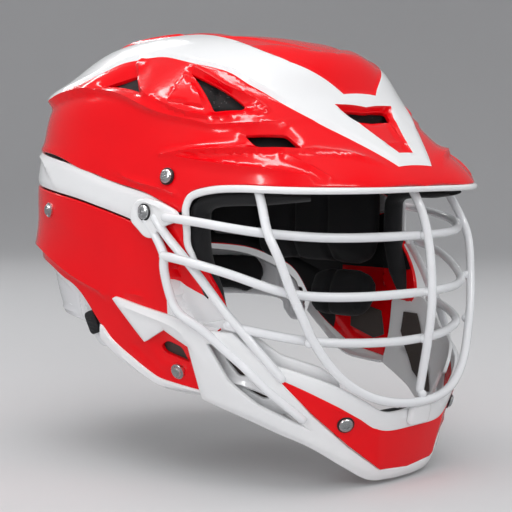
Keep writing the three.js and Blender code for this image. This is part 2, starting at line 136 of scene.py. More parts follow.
def form(angle, t, brow=None):
    """Points of the outer form, at a plan angle from the front in degrees and a section."""
    z, front, rear, half, front_square, rear_square = np.moveaxis(section(t), -1, 0)
    if brow is not None:
        front = np.minimum(front, brow)
    c, s = np.cos(np.radians(angle)), np.sin(np.radians(angle))
    reach = np.where(c >= 0, front, rear)
    power = np.where(c >= 0, front_square, rear_square)
    half, reach = np.maximum(half, 1e-4), np.maximum(reach, 1e-4)
    radius = (np.abs(s / half) ** power + np.abs(c / reach) ** power) ** (-1 / power)
    return np.stack([radius * s, -radius * c, z + 0 * radius], -1)


# The crown is drawn on a flat disc: the angle is the plan angle, the distance from the middle
# is the way down the side of the dome.
side_run = np.concatenate([[0], np.cumsum(np.hypot(
    np.diff(section(STATIONS)[:, 3]), np.diff(STATION_Z)))])


class Disc:
    """Drawing plane of the crown, in millimetres round the top of the dome."""

    facing = -1
    brow = None

    @classmethod
    def place(cls, xy):
        angle = np.degrees(np.arctan2(xy[:, 0], xy[:, 1]))
        return form(angle, np.interp(np.hypot(xy[:, 0], xy[:, 1]), side_run, STATIONS), cls.brow)

    @staticmethod
    def draw(points):
        angle, z = np.array(points, float).T
        run = np.interp(level_at(z), STATIONS, side_run)
        return np.stack([run * np.sin(np.radians(angle)), run * np.cos(np.radians(angle))], -1)

    @staticmethod
    def near_half(xy):
        return np.stack([np.abs(xy[:, 0]), xy[:, 1]], -1)


def on_plane(plane, xy, lift):
    """Points of the form moved outwards, square to it, by lift."""
    step = 0.2
    across = plane.place(xy + [step, 0]) - plane.place(xy - [step, 0])
    along = plane.place(xy + [0, step]) - plane.place(xy - [0, step])
    out = np.cross(across, along) * plane.facing
    out /= np.linalg.norm(out, axis=1, keepdims=True)
    return plane.place(xy) + out * np.broadcast_to(lift, len(xy))[:, None]


def smooth_line(points):
    """A smooth curve through drawn points, twelve steps from each to the next."""
    p = np.array(points, float)
    p = np.concatenate([2 * p[:1] - p[1:2], p, 2 * p[-1:] - p[-2:-1]])
    f = np.linspace(0, 1, 12, endpoint=False)[:, None]
    out = [0.5 * (2 * b + (c - a) * f + (2 * a - 5 * b + 4 * c - d) * f**2
                  + (3 * (b - c) + d - a) * f**3)
           for a, b, c, d in zip(p, p[1:], p[2:], p[3:])]
    return np.concatenate([*out, p[-2:-1]])


def closed_line(outline):
    """An outline carried on to its first point."""
    return np.concatenate([outline, outline[:1]])


def even(line, step, closed=False):
    """The same line with its points an even step apart, corners kept."""
    ends = closed_line(line) if closed else line
    out = []
    for a, b in zip(ends, ends[1:]):
        count = max(1, round(np.linalg.norm(b - a) / step))
        out.append(a + (b - a) * np.linspace(0, 1, count, endpoint=False)[:, None])
    out = np.concatenate(out)
    kept = [out[0]]
    for p in out[1:]:
        if np.linalg.norm(p - kept[-1]) > 0.45 * step:
            kept.append(p)
    if not closed:
        kept.append(ends[-1])
    return np.array(kept)


def rounded(corners, radius):
    """A closed outline with its corners rounded."""
    p = np.array(corners, float)
    out = []
    for a, b, c in zip(np.roll(p, 1, 0), p, np.roll(p, -1, 0)):
        first, last = (b + (e - b) * min(0.45, radius / np.linalg.norm(e - b)) for e in (a, c))
        f = np.linspace(0, 1, 5)[:, None]
        out.append(first * (1 - f) ** 2 + 2 * b * f * (1 - f) + last * f * f)
    return np.concatenate(out)


def inside(xy, outline):
    """Which points lie inside a closed outline."""
    found = np.zeros(len(xy), bool)
    for (x0, y0), (x1, y1) in zip(outline, np.roll(outline, -1, 0)):
        if y0 != y1:
            crosses = (y0 > xy[:, 1]) != (y1 > xy[:, 1])
            found ^= crosses & (xy[:, 0] < (x1 - x0) * (xy[:, 1] - y0) / (y1 - y0) + x0)
    return found


def near(xy, line):
    """Distance to a line, the share of the line passed there, and +1 on its left."""
    best = np.full(len(xy), 1e9)
    share = np.zeros(len(xy))
    side = np.ones(len(xy))
    runs = np.concatenate([[0], np.cumsum(np.linalg.norm(np.diff(line, axis=0), axis=1))])
    for i, (a, b) in enumerate(zip(line, line[1:])):
        d = b - a
        v = xy - a
        f = np.clip(v @ d / max(d @ d, 1e-12), 0, 1)
        gap = np.hypot(*(v - f[:, None] * d).T)
        closer = gap < best - 1e-9
        best = np.where(closer, gap, best)
        share = np.where(closer, (runs[i] + f * (runs[i + 1] - runs[i])) / runs[-1], share)
        side = np.where(closer, np.sign(d[0] * v[:, 1] - d[1] * v[:, 0]), side)
    return best, share, side


def ridge(xy, line, heights, left, right):
    """Height of a crisp ridge along a line that fades over its left and right widths."""
    gap, share, side = near(xy, line)
    reach = np.where(side > 0, left, right)
    tall = np.interp(share, np.linspace(0, 1, len(heights)), heights)
    return tall * (1 - np.clip(gap / reach, 0, 1)) ** 2


def sunk(xy, outline, depth, width):
    """Depth of a funnel round a hole."""
    gap = near(xy, closed_line(outline))[0]
    gap = np.where(inside(xy, outline), 0, gap)
    return -depth * (1 - np.clip(gap / width, 0, 1)) ** 2


def land(xy, outline, height, width):
    """Height of a raised land with a bevel just inside its outline."""
    gap = near(xy, closed_line(outline))[0]
    return np.where(inside(xy, outline), height * np.clip(gap / width, 0, 1), 0)


def filled(drawn, rim, spacing):
    """Evenly spread points inside a rim, clear of the drawn ones."""
    tree = kdtree.KDTree(len(drawn))
    for i, (x, y) in enumerate(drawn):
        tree.insert((x, y, 0), i)
    tree.balance()
    low, high = drawn.min(0), drawn.max(0)
    row_step = spacing * 0.866  # the height of an equal-sided triangle
    rows = []
    for i, y in enumerate(np.arange(low[1], high[1], row_step)):
        x = np.arange(low[0] + (i % 2) * spacing / 2, high[0], spacing)
        rows.append(np.stack([x, np.full(len(x), y)], -1))
    grid = np.concatenate(rows)
    grid = grid[inside(grid, rim)]
    clear = 0.55 * spacing
    return np.array([p for p in grid if tree.find((p[0], p[1], 0))[2] > clear])


def triangulated(outline, holes, lines, spacing):
    """Points and triangles of a drawing that has each of its lines as an edge."""
    rims = [even(outline, spacing, True)] + [even(h, spacing * 0.8, True) for h in holes]
    marks = [even(m, spacing) for m in lines]
    points, edges = [], []
    for line, closed in [(r, True) for r in rims] + [(m, False) for m in marks]:
        first = sum(len(p) for p in points)
        points.append(line)
        edges += [(first + i, first + i + 1) for i in range(len(line) - 1)]
        if closed:
            edges.append((first + len(line) - 1, first))
    drawn = np.concatenate(points)
    flat = [Vector(p) for p in np.concatenate([drawn, filled(drawn, rims[0], spacing)])]
    made = delaunay_2d_cdt(flat, edges, [], 0, 1e-4, False)
    xy = np.array([tuple(v) for v in made[0]])
    tris = np.array(made[2])
    centre = xy[tris].mean(1)
    keep = inside(centre, rims[0])
    for hole in rims[1:]:
        keep &= ~inside(centre, hole)
    used, tris = np.unique(tris[keep], return_inverse=True)
    return xy[used], tris.reshape(-1, 3)


def rolled_edge(outer, inner, tris, wall, radius):
    """Points and faces that carry each free edge round from the outer face to the inner one."""
    sides = np.concatenate([tris[:, [0, 1]], tris[:, [1, 2]], tris[:, [2, 0]]])
    pairs = {tuple(s) for s in sides.tolist()}
    after = {a: b for a, b in pairs if (b, a) not in pairs}
    before = {b: a for a, b in after.items()}
    ring = np.array(list(after))
    normal = outer[ring] - inner[ring]
    normal /= np.linalg.norm(normal, axis=1, keepdims=True)
    run = outer[[after[i] for i in ring]] - outer[[before[i] for i in ring]]
    away = np.cross(run, normal)
    away /= np.maximum(np.linalg.norm(away, axis=1, keepdims=True), 1e-9)
    bow = [(math.sin(q) * radius, radius * (1 - math.cos(q))) for q in np.radians((30, 60, 90))]
    steps = bow + [(o, wall - d) for o, d in reversed(bow)]
    points = [outer[ring] + away * o - normal * d for o, d in steps]
    first = 2 * len(outer)
    rows = [first + n * len(ring) + np.arange(len(ring)) for n in range(len(steps))]
    rows = [ring, *rows, ring + len(outer)]
    row_of = {v: i for i, v in enumerate(after)}
    following = np.array([row_of[b] for b in after.values()])
    quads = [np.stack([a, b, b[following], a[following]], -1) for a, b in zip(rows, rows[1:])]
    return np.concatenate(points), np.concatenate(quads)


def moulding(name, plane, outline, relief, wall, spacing, holes=(), lines=(), zones=(),
             round_edge=0.6, inner_finish=0):
    """A moulded wall: the drawn outline meshed with every line as an edge, lifted by its relief,
    given its thickness and a rounded edge. Zones are the outlines of a second colour, and the last
    argument gives the number of the finish on the inner face, or gives it for each place."""
    xy, tris = triangulated(outline, holes, lines, spacing)
    centre = xy[tris].mean(1)
    if plane.facing < 0:
        tris = tris[:, ::-1]
    lift = relief(xy)
    outer, inner = on_plane(plane, xy, lift), on_plane(plane, xy, lift - wall)
    edge, quads = rolled_edge(outer, inner, tris, wall, round_edge)
    faces = [*tris.tolist(), *(tris[:, ::-1] + len(xy)).tolist(), *quads.tolist()]
    mesh = bpy.data.meshes.new(name)
    mesh.from_pydata((np.concatenate([outer, inner, edge]) * MM).tolist(), [], faces)
    second = np.zeros(len(centre), bool)
    for zone, inner_zones in zones:
        hit = inside(centre, zone)
        for part in inner_zones:
            hit &= ~inside(centre, part)
        second |= hit
    finish = np.zeros(len(faces), int)
    finish[: len(second)] = second
    finish[len(second): 2 * len(second)] = inner_finish(centre) if callable(inner_finish) else inner_finish
    mesh.polygons.foreach_set("material_index", finish)
    mesh.polygons.foreach_set("use_smooth", np.ones(len(faces), bool))
    crisp_fold = 38
    mesh.set_sharp_from_angle(angle=math.radians(crisp_fold))
    mesh.update()
    piece = bpy.data.objects.new(name, mesh)
    scene.collection.objects.link(piece)
    return piece


def plastic(name, colour, rough, shade, dimple=0.02, coat=0.3):
    """Moulded plastic: a faint flow mottle of a second shade, fine orange peel, and scuffs that
    dull the gloss a little."""
    material = bpy.data.materials.new(name)
    material.use_nodes = True
    nodes, links = material.node_tree.nodes, material.node_tree.links
    shader = nodes["Principled BSDF"]
    shader.inputs["Coat Weight"].default_value = coat
    shader.inputs["Coat Roughness"].default_value = 0.04
    shader.inputs["Specular IOR Level"].default_value = 0.35
    where = nodes.new("ShaderNodeTexCoord")

    def noise(scale, detail, distortion=0.0):
        node = nodes.new("ShaderNodeTexNoise")
        node.inputs["Scale"].default_value = scale
        node.inputs["Detail"].default_value = detail
        node.inputs["Distortion"].default_value = distortion
        links.new(where.outputs["Object"], node.inputs["Vector"])
        return node

    flow = noise(9, 3, 0.6)
    blend = nodes.new("ShaderNodeMix")
    blend.data_type = "RGBA"
    blend.inputs["A"].default_value = (*colour, 1)
    blend.inputs["B"].default_value = (*shade, 1)
    ramp = nodes.new("ShaderNodeMapRange")
    ramp.inputs["From Min"].default_value = 0.35
    ramp.inputs["From Max"].default_value = 0.75
    ramp.inputs["To Max"].default_value = 0.6
    links.new(flow.outputs["Fac"], ramp.inputs["Value"])
    links.new(ramp.outputs["Result"], blend.inputs["Factor"])
    links.new(blend.outputs["Result"], shader.inputs["Base Color"])
    scuff = nodes.new("ShaderNodeTexNoise")
    scuff.inputs["Scale"].default_value = 60
    scuff.inputs["Detail"].default_value = 6
    stretch = nodes.new("ShaderNodeMapping")
    stretch.inputs["Scale"].default_value = (1, 1, 9)
    stretch.inputs["Rotation"].default_value = (0.5, 0.3, 0.8)
    links.new(where.outputs["Object"], stretch.inputs["Vector"])
    links.new(stretch.outputs["Vector"], scuff.inputs["Vector"])
    gloss = nodes.new("ShaderNodeMapRange")
    gloss.inputs["From Min"].default_value = 0.45
    gloss.inputs["From Max"].default_value = 0.8
    gloss.inputs["To Min"].default_value = rough
    gloss.inputs["To Max"].default_value = rough + 0.05
    links.new(scuff.outputs["Fac"], gloss.inputs["Value"])
    links.new(gloss.outputs["Result"], shader.inputs["Roughness"])
    peel = noise(900, 2)
    bump = nodes.new("ShaderNodeBump")
    bump.inputs["Strength"].default_value = dimple
    bump.inputs["Distance"].default_value = 0.0004
    links.new(peel.outputs["Fac"], bump.inputs["Height"])
    links.new(bump.outputs["Normal"], shader.inputs["Normal"])
    return material


def show(piece, body, slot_name, nodes_replaced, *materials):
    """Gives a finished piece its materials, its body and the parts it stands for."""
    for material in materials:
        piece.data.materials.append(material)
    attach(piece, body)
    if nodes_replaced:
        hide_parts(*nodes_replaced)
    return piece


gloss_red = plastic("gloss_red_plastic", (0.92, 0.0, 0.005), 0.17, (0.78, 0.0, 0.006))
gloss_white = plastic("gloss_white_plastic", (0.88, 0.885, 0.895), 0.18, (0.84, 0.85, 0.865))


def both_halves(half):
    """A line drawn from the back to the front of one side, carried on down the other."""
    mirror = half[::-1] * [-1, 1]
    return np.concatenate([half, mirror[1:] if abs(half[-1, 0]) < 1e-6 else mirror])


def mirrored(outline):
    """An outline on the other side, drawn in the same sense."""
    return outline[::-1] * [-1, 1]


def flipped(line):
    """A line on the other side, drawn from the same end."""
    return line * [-1, 1]


def on_side(side, outline):
    """An outline drawn for the wearer's left, or its mirror image for the right."""
    return outline if side == "left" else mirrored(outline)


def twins(*lines, other=mirrored):
    """Each line and then its twin on the other side."""
    return [m for line in lines for m in (line, other(line))]


rear_edge = Disc.draw([(180, 61.6), (158, 60), (133, 57.6), (104.5, 50.6), (89, 43.6), (78, 38.6),
                       (66, 33.1), (58, 25.8), (55.6, 23)])
brim_edge = Disc.draw([(55.3, 23.2), (54.9, 27), (52.8, 34.6), (47.4, 38.6), (41, 39.7),
                       (30, 38.8), (15, 38.3), (0, 38.2)])
edge_half = np.concatenate([smooth_line(rear_edge), smooth_line(brim_edge)])
upper_outline = both_halves(edge_half)[:-1]

rear_vent = rounded(Disc.draw([(99, 97.4), (82.4, 107.4), (75.2, 94.0)]), 2)
mid_vent = rounded(Disc.draw([(56, 106.4), (37.6, 84.6), (38.6, 81.8), (46.8, 80.6)]), 2)
side_vent = rounded(Disc.draw([(39.4, 68.2), (28.8, 68.8), (26.2, 59.4), (36.4, 59.4)]), 2.5)
front_slot = rounded(Disc.draw([(11.2, 83.2), (0, 82.4), (-11.2, 83.2), (-8.6, 76.2), (0, 75.6),
                                (8.6, 76.2)]), 2.5)
facet = Disc.draw([(57.3, 105), (61.8, 86.1), (47.5, 81)])

ledge = smooth_line(Disc.draw([
    (180, 85), (158, 86), (135, 88), (118, 92.5), (102.5, 94.7), (83.3, 91.4), (69.3, 83.5),
    (60, 78.3), (50, 73.9), (45.2, 72.5), (33, 73.8), (21.2, 75.3), (15, 72)]))
stripe_low = np.concatenate([ledge[14:36], smooth_line(Disc.draw([
    (118, 92.5), (106.5, 104.6), (96.8, 112.1), (85.3, 114.3), (71.3, 115.5), (61, 112.9),
    (53.5, 110), (42, 104.4), (34.5, 94.5), (22.5, 76.9), (5.7, 48.8)]))])
stripe_high = np.concatenate([ledge[14:15], smooth_line(Disc.draw([
    (151, 92), (143, 104), (130, 117), (100, 127), (57, 129.6), (31.2, 118), (22.8, 109.4)])),
    Disc.draw([(7.4, 91.0)])])
stripe_outline = both_halves(stripe_low)
top_panel = both_halves(stripe_high)
v_panel = Disc.draw([(12.6, 84.6), (0, 83.6), (-12.6, 84.6), (-2.5, 55.6), (2.5, 55.6)])

brow_ridge = smooth_line(Disc.draw([
    (66, 54), (59.7, 56.6), (50, 58), (40.3, 58.3), (25.5, 57.6), (15.8, 55), (8.5, 48.2)]))
brim_ridge = smooth_line(Disc.draw([(63, 54.6), (59.7, 55.2), (50, 52), (39.5, 48.2),
                                    (27.8, 43.5)]))
upper_ridge = smooth_line(Disc.draw([(66, 89), (63.8, 86.6), (56.8, 81.4), (50.5, 78), (44, 76.6),
                                     (36, 77)]))
brim_rib = Disc.draw([(31.5, 55.4), (27.5, 49.5), (24, 43.1)])
temple_crease = smooth_line(Disc.draw([(82.5, 45), (70, 39.4), (56.5, 33)]))
vent_rim = smooth_line(Disc.draw([(53.5, 107.4), (43, 96), (35, 86.6), (33, 80.2), (40, 79.4)]))
pillar = smooth_line(Disc.draw([(84, 112.5), (79, 102), (71, 91.6), (63, 86.4)]))
flare = smooth_line(Disc.draw([(180, 62), (158, 60.4), (133, 58), (104.5, 51), (89, 44)]))
platform = smooth_line(Disc.draw([(34, 119.6), (23.3, 121.4), (13, 117.6), (0, 115.6)]))
v_ridge = Disc.draw([(6.2, 75.6), (3.6, 63), (0, 62)])
sill = Disc.draw([(7.4, 91.0), (-7.4, 91.0)])
blade = smooth_line(Disc.draw([(160, 110), (100, 131), (30, 130.2), (11.7, 123.2), (2.3, 117)]))


# Each ridge: its line, its heights along the line, and its width on the left and on the right.
UPPER_RIDGES = [
    (ledge, (4, 4.8, 5.2, 5.4, 5.2, 4.8, 4.4, 3.8, 3.2, 2.8, 2.2, 1.4, 0), 24, 3.6),
    (upper_ridge, (0, 2.0, 2.4, 2.0, 1.2, 0), 4, 2),
    (brow_ridge, (0, 2.2, 3.2, 3.4, 3.2, 2.2, 0), 6, 2.6),
    (brim_ridge, (0, 2.0, 2.8, 2.8, 1.6), 2.6, 7),
    (brim_rib, (2.2, 2.0, 1.0), 2.0, 4),
    (temple_crease, (0, 1.8, 1.0), 5, 2.4),
    (vent_rim, (1.2, 2.2, 2.4, 2.0, 0.5), 2.4, 2.0),
    (pillar, (2.6, 2.6, 2.0, 0.4), 10, 4),
    (flare, (1.8, 1.8, 1.6, 0.8, 0), 8, 2),
    (blade, (0, 1.2, 1.4, 1.2, 0.4), 7, 3)]


def ridges(xy, table):
    return sum(ridge(xy, *row) for row in table)


def upper_relief(xy):
    """Ridges and vent funnels, a panel let down in front of the platform, the stripe and its V."""
    half = Disc.near_half(xy)
    height = ridges(half, UPPER_RIDGES)
    for vent, depth, width in ((rear_vent, 4.0, 13), (mid_vent, 2.0, 4), (side_vent, 2.0, 7)):
        height += sunk(half, vent, depth, width)
    height += land(half, facet, 1.5, 1.2)
    in_panel, in_v = inside(xy, top_panel), inside(xy, v_panel)
    gap, _, side = near(half, platform)
    edge = near(half, stripe_high)[0]
    front = np.clip(gap / 9, 0, 1) * np.where(side > 0, 1, 0) * in_panel
    front *= np.clip(edge / 4, 0, 1) * np.clip(half[:, 1] / 10, 0, 1)
    height -= 2.6 * front * (3 - 2 * front) * front
    panel_gap = np.minimum(edge, near(xy, sill)[0])
    v_gap = near(xy, closed_line(v_panel))[0]
    white = land(xy, stripe_outline, 1.5, 2.6)
    white = np.where(in_panel, 0.5 + 1.0 * (1 - np.clip(panel_gap / 1.2, 0, 1)), white)
    white = np.where(in_v, 1.5 - 2.6 * np.clip(v_gap / 1.6, 0, 1), white)
    height += white
    height += ridge(half, v_ridge, (1.0, 1.2, 1.2), 1.8, 3) * in_v
    height += sunk(xy, front_slot, 1.4, 3)
    return height


upper_lines = twins(ledge[1:], brow_ridge, brim_ridge, brim_rib, temple_crease, vent_rim, pillar,
                    stripe_low[22:], stripe_high, upper_ridge, platform[:-1], blade, other=flipped)
upper_lines += [sill, Disc.draw([(5.7, 48.8), (-5.7, 48.8)]), closed_line(v_panel)]
upper_lines += twins(closed_line(facet), other=flipped) + [both_halves(v_ridge)]
upper_shell = moulding(
    "upper_shell", Disc, upper_outline, upper_relief, 3.0, 2.0,
    holes=[*twins(rear_vent, mid_vent, side_vent), front_slot], lines=upper_lines,
    zones=[(stripe_outline, [top_panel, v_panel])], inner_finish=2)
# Black for the inner faces of both shells: painted shade, standing in for the shadow that falls inside the
# red shell.
lining_black = plastic("lining_black", (0.014, 0.014, 0.015), 0.5, (0.024, 0.024, 0.026), coat=0.05)
show(upper_shell, "helmet", "red_shell", ["crown_shell", "visor"], gloss_red, gloss_white, lining_black)


# ---------------------------------------------------------------------------------------------
# Rear band. A white plastic strap moulded to the shell, let in between its two halves, and
# held at each end by the face cage bolt.
# ---------------------------------------------------------------------------------------------
class Wrap:
    """Drawing plane of the lower pieces: the plan angle unrolled, against the height."""

    facing = 1
    brow = None
    stretch = 1.9  # millimetres across for a degree of plan angle
    turn_over = 360 * stretch

    @classmethod
    def place(cls, xy):
        return form(xy[:, 0] / cls.stretch, level_at(xy[:, 1]), cls.brow)

    @staticmethod
    def draw(points):
        return np.array(points, float) * [Wrap.stretch, 1]

    @staticmethod
    def near_half(xy):
        u = np.mod(xy[:, 0] + Wrap.turn_over / 2, Wrap.turn_over) - Wrap.turn_over / 2
        return np.stack([np.abs(u), xy[:, 1]], -1)


def behind(line):
    """The same line on the other side, for a piece that runs round the back."""
    return line[::-1] * [-1, 1] + [Wrap.turn_over, 0]


def round_the_back(top, bottom):
    """Outline of a piece that runs round the back, from its edges drawn front to back."""
    up, down = smooth_line(Wrap.draw(top)), smooth_line(Wrap.draw(bottom))
    return np.concatenate([up, behind(up), behind(down)[::-1], down[::-1]])


band_outline = round_the_back(
    [(58.3, 24.2), (66, 31.6), (78, 37.0), (89, 42.0), (104.5, 49.0), (133, 56.0), (158, 59), (180, 60)],
    [(58.3, 17.6), (66, 14.6), (77.5, 20.0), (87, 24.2), (103, 30.2), (127, 35.3), (155, 38), (180, 38.6)])
band_crease = smooth_line(Wrap.draw([(112, 36), (124, 50), (133, 54)]))


def band_relief(xy):
    half = Wrap.near_half(xy)
    gap = near(xy, closed_line(band_outline))[0]
    height = 0.3 - 0.8 * (1 - np.clip(gap / 3, 0, 1)) ** 2
    return height + ridge(half, band_crease, (0.4, 1.6, 1.8), 12, 3)


rear_band = moulding("rear_band", Wrap, band_outline, band_relief, 3.2, 2.2,
                     lines=twins(band_crease, other=behind))
show(rear_band, "helmet", "white_shell", ["rear_band"], gloss_white)

# ---------------------------------------------------------------------------------------------
# Lower shell. Ears and nape in the same glossy red, with a rolled lip over the rear cradle, a
# cooling vent in front of each ear tip and a sunk cheek panel behind the cage wires.
# ---------------------------------------------------------------------------------------------
LOWER_TOP = [(54.9, 18.4), (58, 15.2), (66, 12.2), (77.5, 17.5), (87, 21.8), (103, 27.8),
             (127, 32.9), (155, 35.6), (180, 36.2)]
LOWER_FOOT = [(66, -78.5), (85.5, -58.5), (99.5, -30.5), (110, -21.5), (125, -13.5), (155, -10.4),
              (180, -9.5)]
CHEEK_EDGE = [(54.7, 17), (54.6, 4), (52.4, -4), (49.4, -14), (46.8, -25), (45, -37), (46, -46),
              (49.4, -52), (49.5, -83.4)]
upper = smooth_line(Wrap.draw(LOWER_TOP))
lower = np.concatenate([smooth_line(Wrap.draw(CHEEK_EDGE)), smooth_line(Wrap.draw(LOWER_FOOT))])
lower_outline = np.concatenate([upper, behind(upper), behind(lower)[::-1], lower[::-1]])
lower_vent = rounded(Wrap.draw([(65.4, -59.6), (62.4, -55.4), (57.2, -58.6), (54.4, -69.4),
                                (64.0, -64.0)]), 3)
lip = smooth_line(Wrap.draw([(73, -36), (81, -32.5), (89, -28), (102, -20), (120, -7), (133, -3),
                             (155, -1), (180, -1)]))
vent_bowl = Wrap.draw([(61.6, -46.6), (52.6, -54.6), (49.2, -84), (66, -77), (78, -59.5), (68.8, -55)])
cheek_panel = Wrap.draw([(59.6, -5), (57.2, -36), (52, -45), (40, -47), (42, -5)])
cheek_white = Wrap.draw([(60, -15), (55.4, -21.5), (44, -33), (40, -50), (60, -50)])
# Edge of the black painted shade on the inner face.
inner_shade_edge = Wrap.draw([(48, -24), (76, -24), (76, -69)])
ear_knob = [smooth_line(Wrap.draw([(89.5, -27), (87.7, -30), (84.6, -31.6)])),
            smooth_line(Wrap.draw([(77.5, -28.6), (72, -27.8), (66.2, -30.4)]))]


LOWER_RIDGES = [
    (lip, (0, 1.6, 2.6, 3.4, 3.8, 3.8, 3.8, 3.8), 22, 3.4),
    (ear_knob[0], (0, 1.2, 0), 3, 2),
    (ear_knob[1], (0, 1.4, 1.2, 0), 5, 2)]


def lower_relief(xy):
    """The rolled lip and the knobs by the ear, with the vent, its bowl and the cheek let in."""
    half = Wrap.near_half(xy)
    height = ridges(half, LOWER_RIDGES) + sunk(half, lower_vent, 2.6, 8)
    deep = near(half, closed_line(cheek_panel))[0]
    height -= np.where(inside(half, cheek_panel), 5.2 * np.clip(deep / 1.6, 0, 1), 0)
    bowl = near(half, closed_line(vent_bowl))[0]
    height -= np.where(inside(half, vent_bowl), 1.2 * np.clip(bowl / 2.0, 0, 1), 0)
    return height


def lower_inner_shade(xy):
    """Painted shade: black on the inner face, standing in for the shadow inside the shell, up to the bare
    red in front of the jaw pads.
    """
    half = Wrap.near_half(xy)
    return np.where((half[:, 0] > 76 * Wrap.stretch) | (half[:, 1] > -24), 2, 0)


lower_shell = moulding(
    "lower_shell", Wrap, lower_outline, lower_relief, 3.0, 2.3,
    holes=twins(lower_vent, other=behind),
    lines=twins(lip[:-1], closed_line(vent_bowl), *ear_knob, even(cheek_panel[:3], 2.3),
                even(cheek_white[:3], 2.3), cheek_white[[4, 0]], even(inner_shade_edge, 2.3), other=behind),
    zones=[(cheek_white, []), (behind(cheek_white), [])], inner_finish=lower_inner_shade)
show(lower_shell, "helmet", "red_shell", ["lower_shell"], gloss_red, gloss_white, lining_black)

# ---------------------------------------------------------------------------------------------
# Jaw trims. A rolled white strip under each ear, pushed on over the red edge; its lower face
# turns in under the jaw.
# ---------------------------------------------------------------------------------------------
jaw_top = Wrap.draw([(50.2, -84.8), (58, -82.4), (66, -79.4), (76, -69.8), (85.5, -59.5),
                     (90.4, -50.3)])
jaw_low = Wrap.draw([(50.2, -87.6), (58, -87), (66.5, -85), (76, -77), (85.5, -66.4), (91.6, -58.4)])
jaw_outline = np.concatenate([smooth_line(jaw_top), smooth_line(jaw_low)[::-1]])
jaw_roll = smooth_line((jaw_top * 0.45 + jaw_low * 0.55)[1:-1])


def jaw_relief(xy):
    half = Wrap.near_half(xy)
    gap = near(half, smooth_line(jaw_low))[0]
    turn = np.clip((83 - half[:, 0] / Wrap.stretch) / 12, 0.1, 1)
    turned_in = 3.4 * turn * (1 - np.clip(gap / 5.0, 0, 1)) ** 2
    return 1.2 - turned_in + ridge(half, jaw_roll, (0, 0.7, 0.8, 0.8, 0.7, 0), 3, 1.5)


for side in SIDES:
    trim = moulding(f"jaw_trim_{side}_roll", Wrap, on_side(side, jaw_outline), jaw_relief, 3.4, 1.6,
                    lines=[on_side(side, jaw_roll)], round_edge=1.2)
    show(trim, "helmet", "white_trim", [f"jaw_trim_{side}"], gloss_white)


# ---------------------------------------------------------------------------------------------
# Opening trim. One extruded white bead glued along the edge of the brim and down both sides of
# the face opening, thinner towards its ends.
# ---------------------------------------------------------------------------------------------
def swept(path, out, tall, thick, sides=16):
    """Vertices and faces of an oval bead along a path. out is the way its thickness faces."""
    run = np.gradient(path, axis=0)
    run /= np.linalg.norm(run, axis=1, keepdims=True)
    out = out - run * np.sum(out * run, 1)[:, None]
    out /= np.linalg.norm(out, axis=1, keepdims=True)
    rise = np.cross(run, out)
    q = np.linspace(0, 2 * math.pi, sides, endpoint=False)
    tall, thick = (np.broadcast_to(v, len(path))[:, None, None] for v in (tall, thick))
    rings = (path[:, None] + rise[:, None] * tall * np.cos(q)[:, None]
             + out[:, None] * thick * np.sin(q)[:, None])
    points = np.concatenate([rings.reshape(-1, 3), path[:1], path[-1:]])
    faces = []
    for i in range(len(path) - 1):
        for j in range(sides):
            k = (j + 1) % sides
            faces.append((i * sides + j, i * sides + k, (i + 1) * sides + k, (i + 1) * sides + j))
    last = (len(path) - 1) * sides
    for j in range(sides):
        k = (j + 1) % sides
        faces.append((k, j, len(points) - 2))
        faces.append((last + j, last + k, len(points) - 1))
    return points, faces


def joined(name, parts):
    """One mesh object from several sets of vertices and faces, in millimetres."""
    points, faces = [], []
    for vertices, polygons in parts:
        first = sum(len(p) for p in points)
        points.append(vertices)
        faces += [tuple(first + i for i in f) for f in polygons]
    mesh = bpy.data.meshes.new(name)
    mesh.from_pydata((np.concatenate(points) * MM).tolist(), [], faces)
    made = bmesh.new()
    made.from_mesh(mesh)
    bmesh.ops.recalc_face_normals(made, faces=made.faces)
    made.to_mesh(mesh)
    made.free()
    mesh.polygons.foreach_set("use_smooth", np.ones(len(mesh.polygons), bool))
    crisp_fold = 40
    mesh.set_sharp_from_angle(angle=math.radians(crisp_fold))
    piece = bpy.data.objects.new(name, mesh)
    scene.collection.objects.link(piece)
    return piece


bead_half = Wrap.draw([(51.6, -7), (53.4, -2), (54.6, 4), (54.8, 12), (55.1, 19), (54.9, 27),
                       (52.8, 34.6), (47.4, 38.6), (41, 39.7), (30, 38.8), (15, 38.3), (0, 38.2)])
bead_line = even(both_halves(smooth_line(bead_half)), 2.2)
bead_edge = on_plane(Wrap, bead_line, -1.2)
bead_out = on_plane(Wrap, bead_line, 4) - bead_edge
bead_run = np.gradient(bead_edge, axis=0)
bead_way = np.cross(bead_run, bead_out)
bead_way /= -np.linalg.norm(bead_way, axis=1, keepdims=True)
share = np.abs(np.linspace(-1, 1, len(bead_line)))
bead_tall = np.interp(share, (0, 0.3, 0.72, 0.86, 0.94, 1), (1.6, 2.1, 2.5, 2.3, 1.9, 0.7))
bead_path = bead_edge + bead_way * (bead_tall + 0.55)[:, None]
opening_trim = joined("opening_bead", [swept(bead_path, bead_out, bead_tall, 1.9)])
show(opening_trim, "helmet", "white_trim", ["opening_trim"], gloss_white)

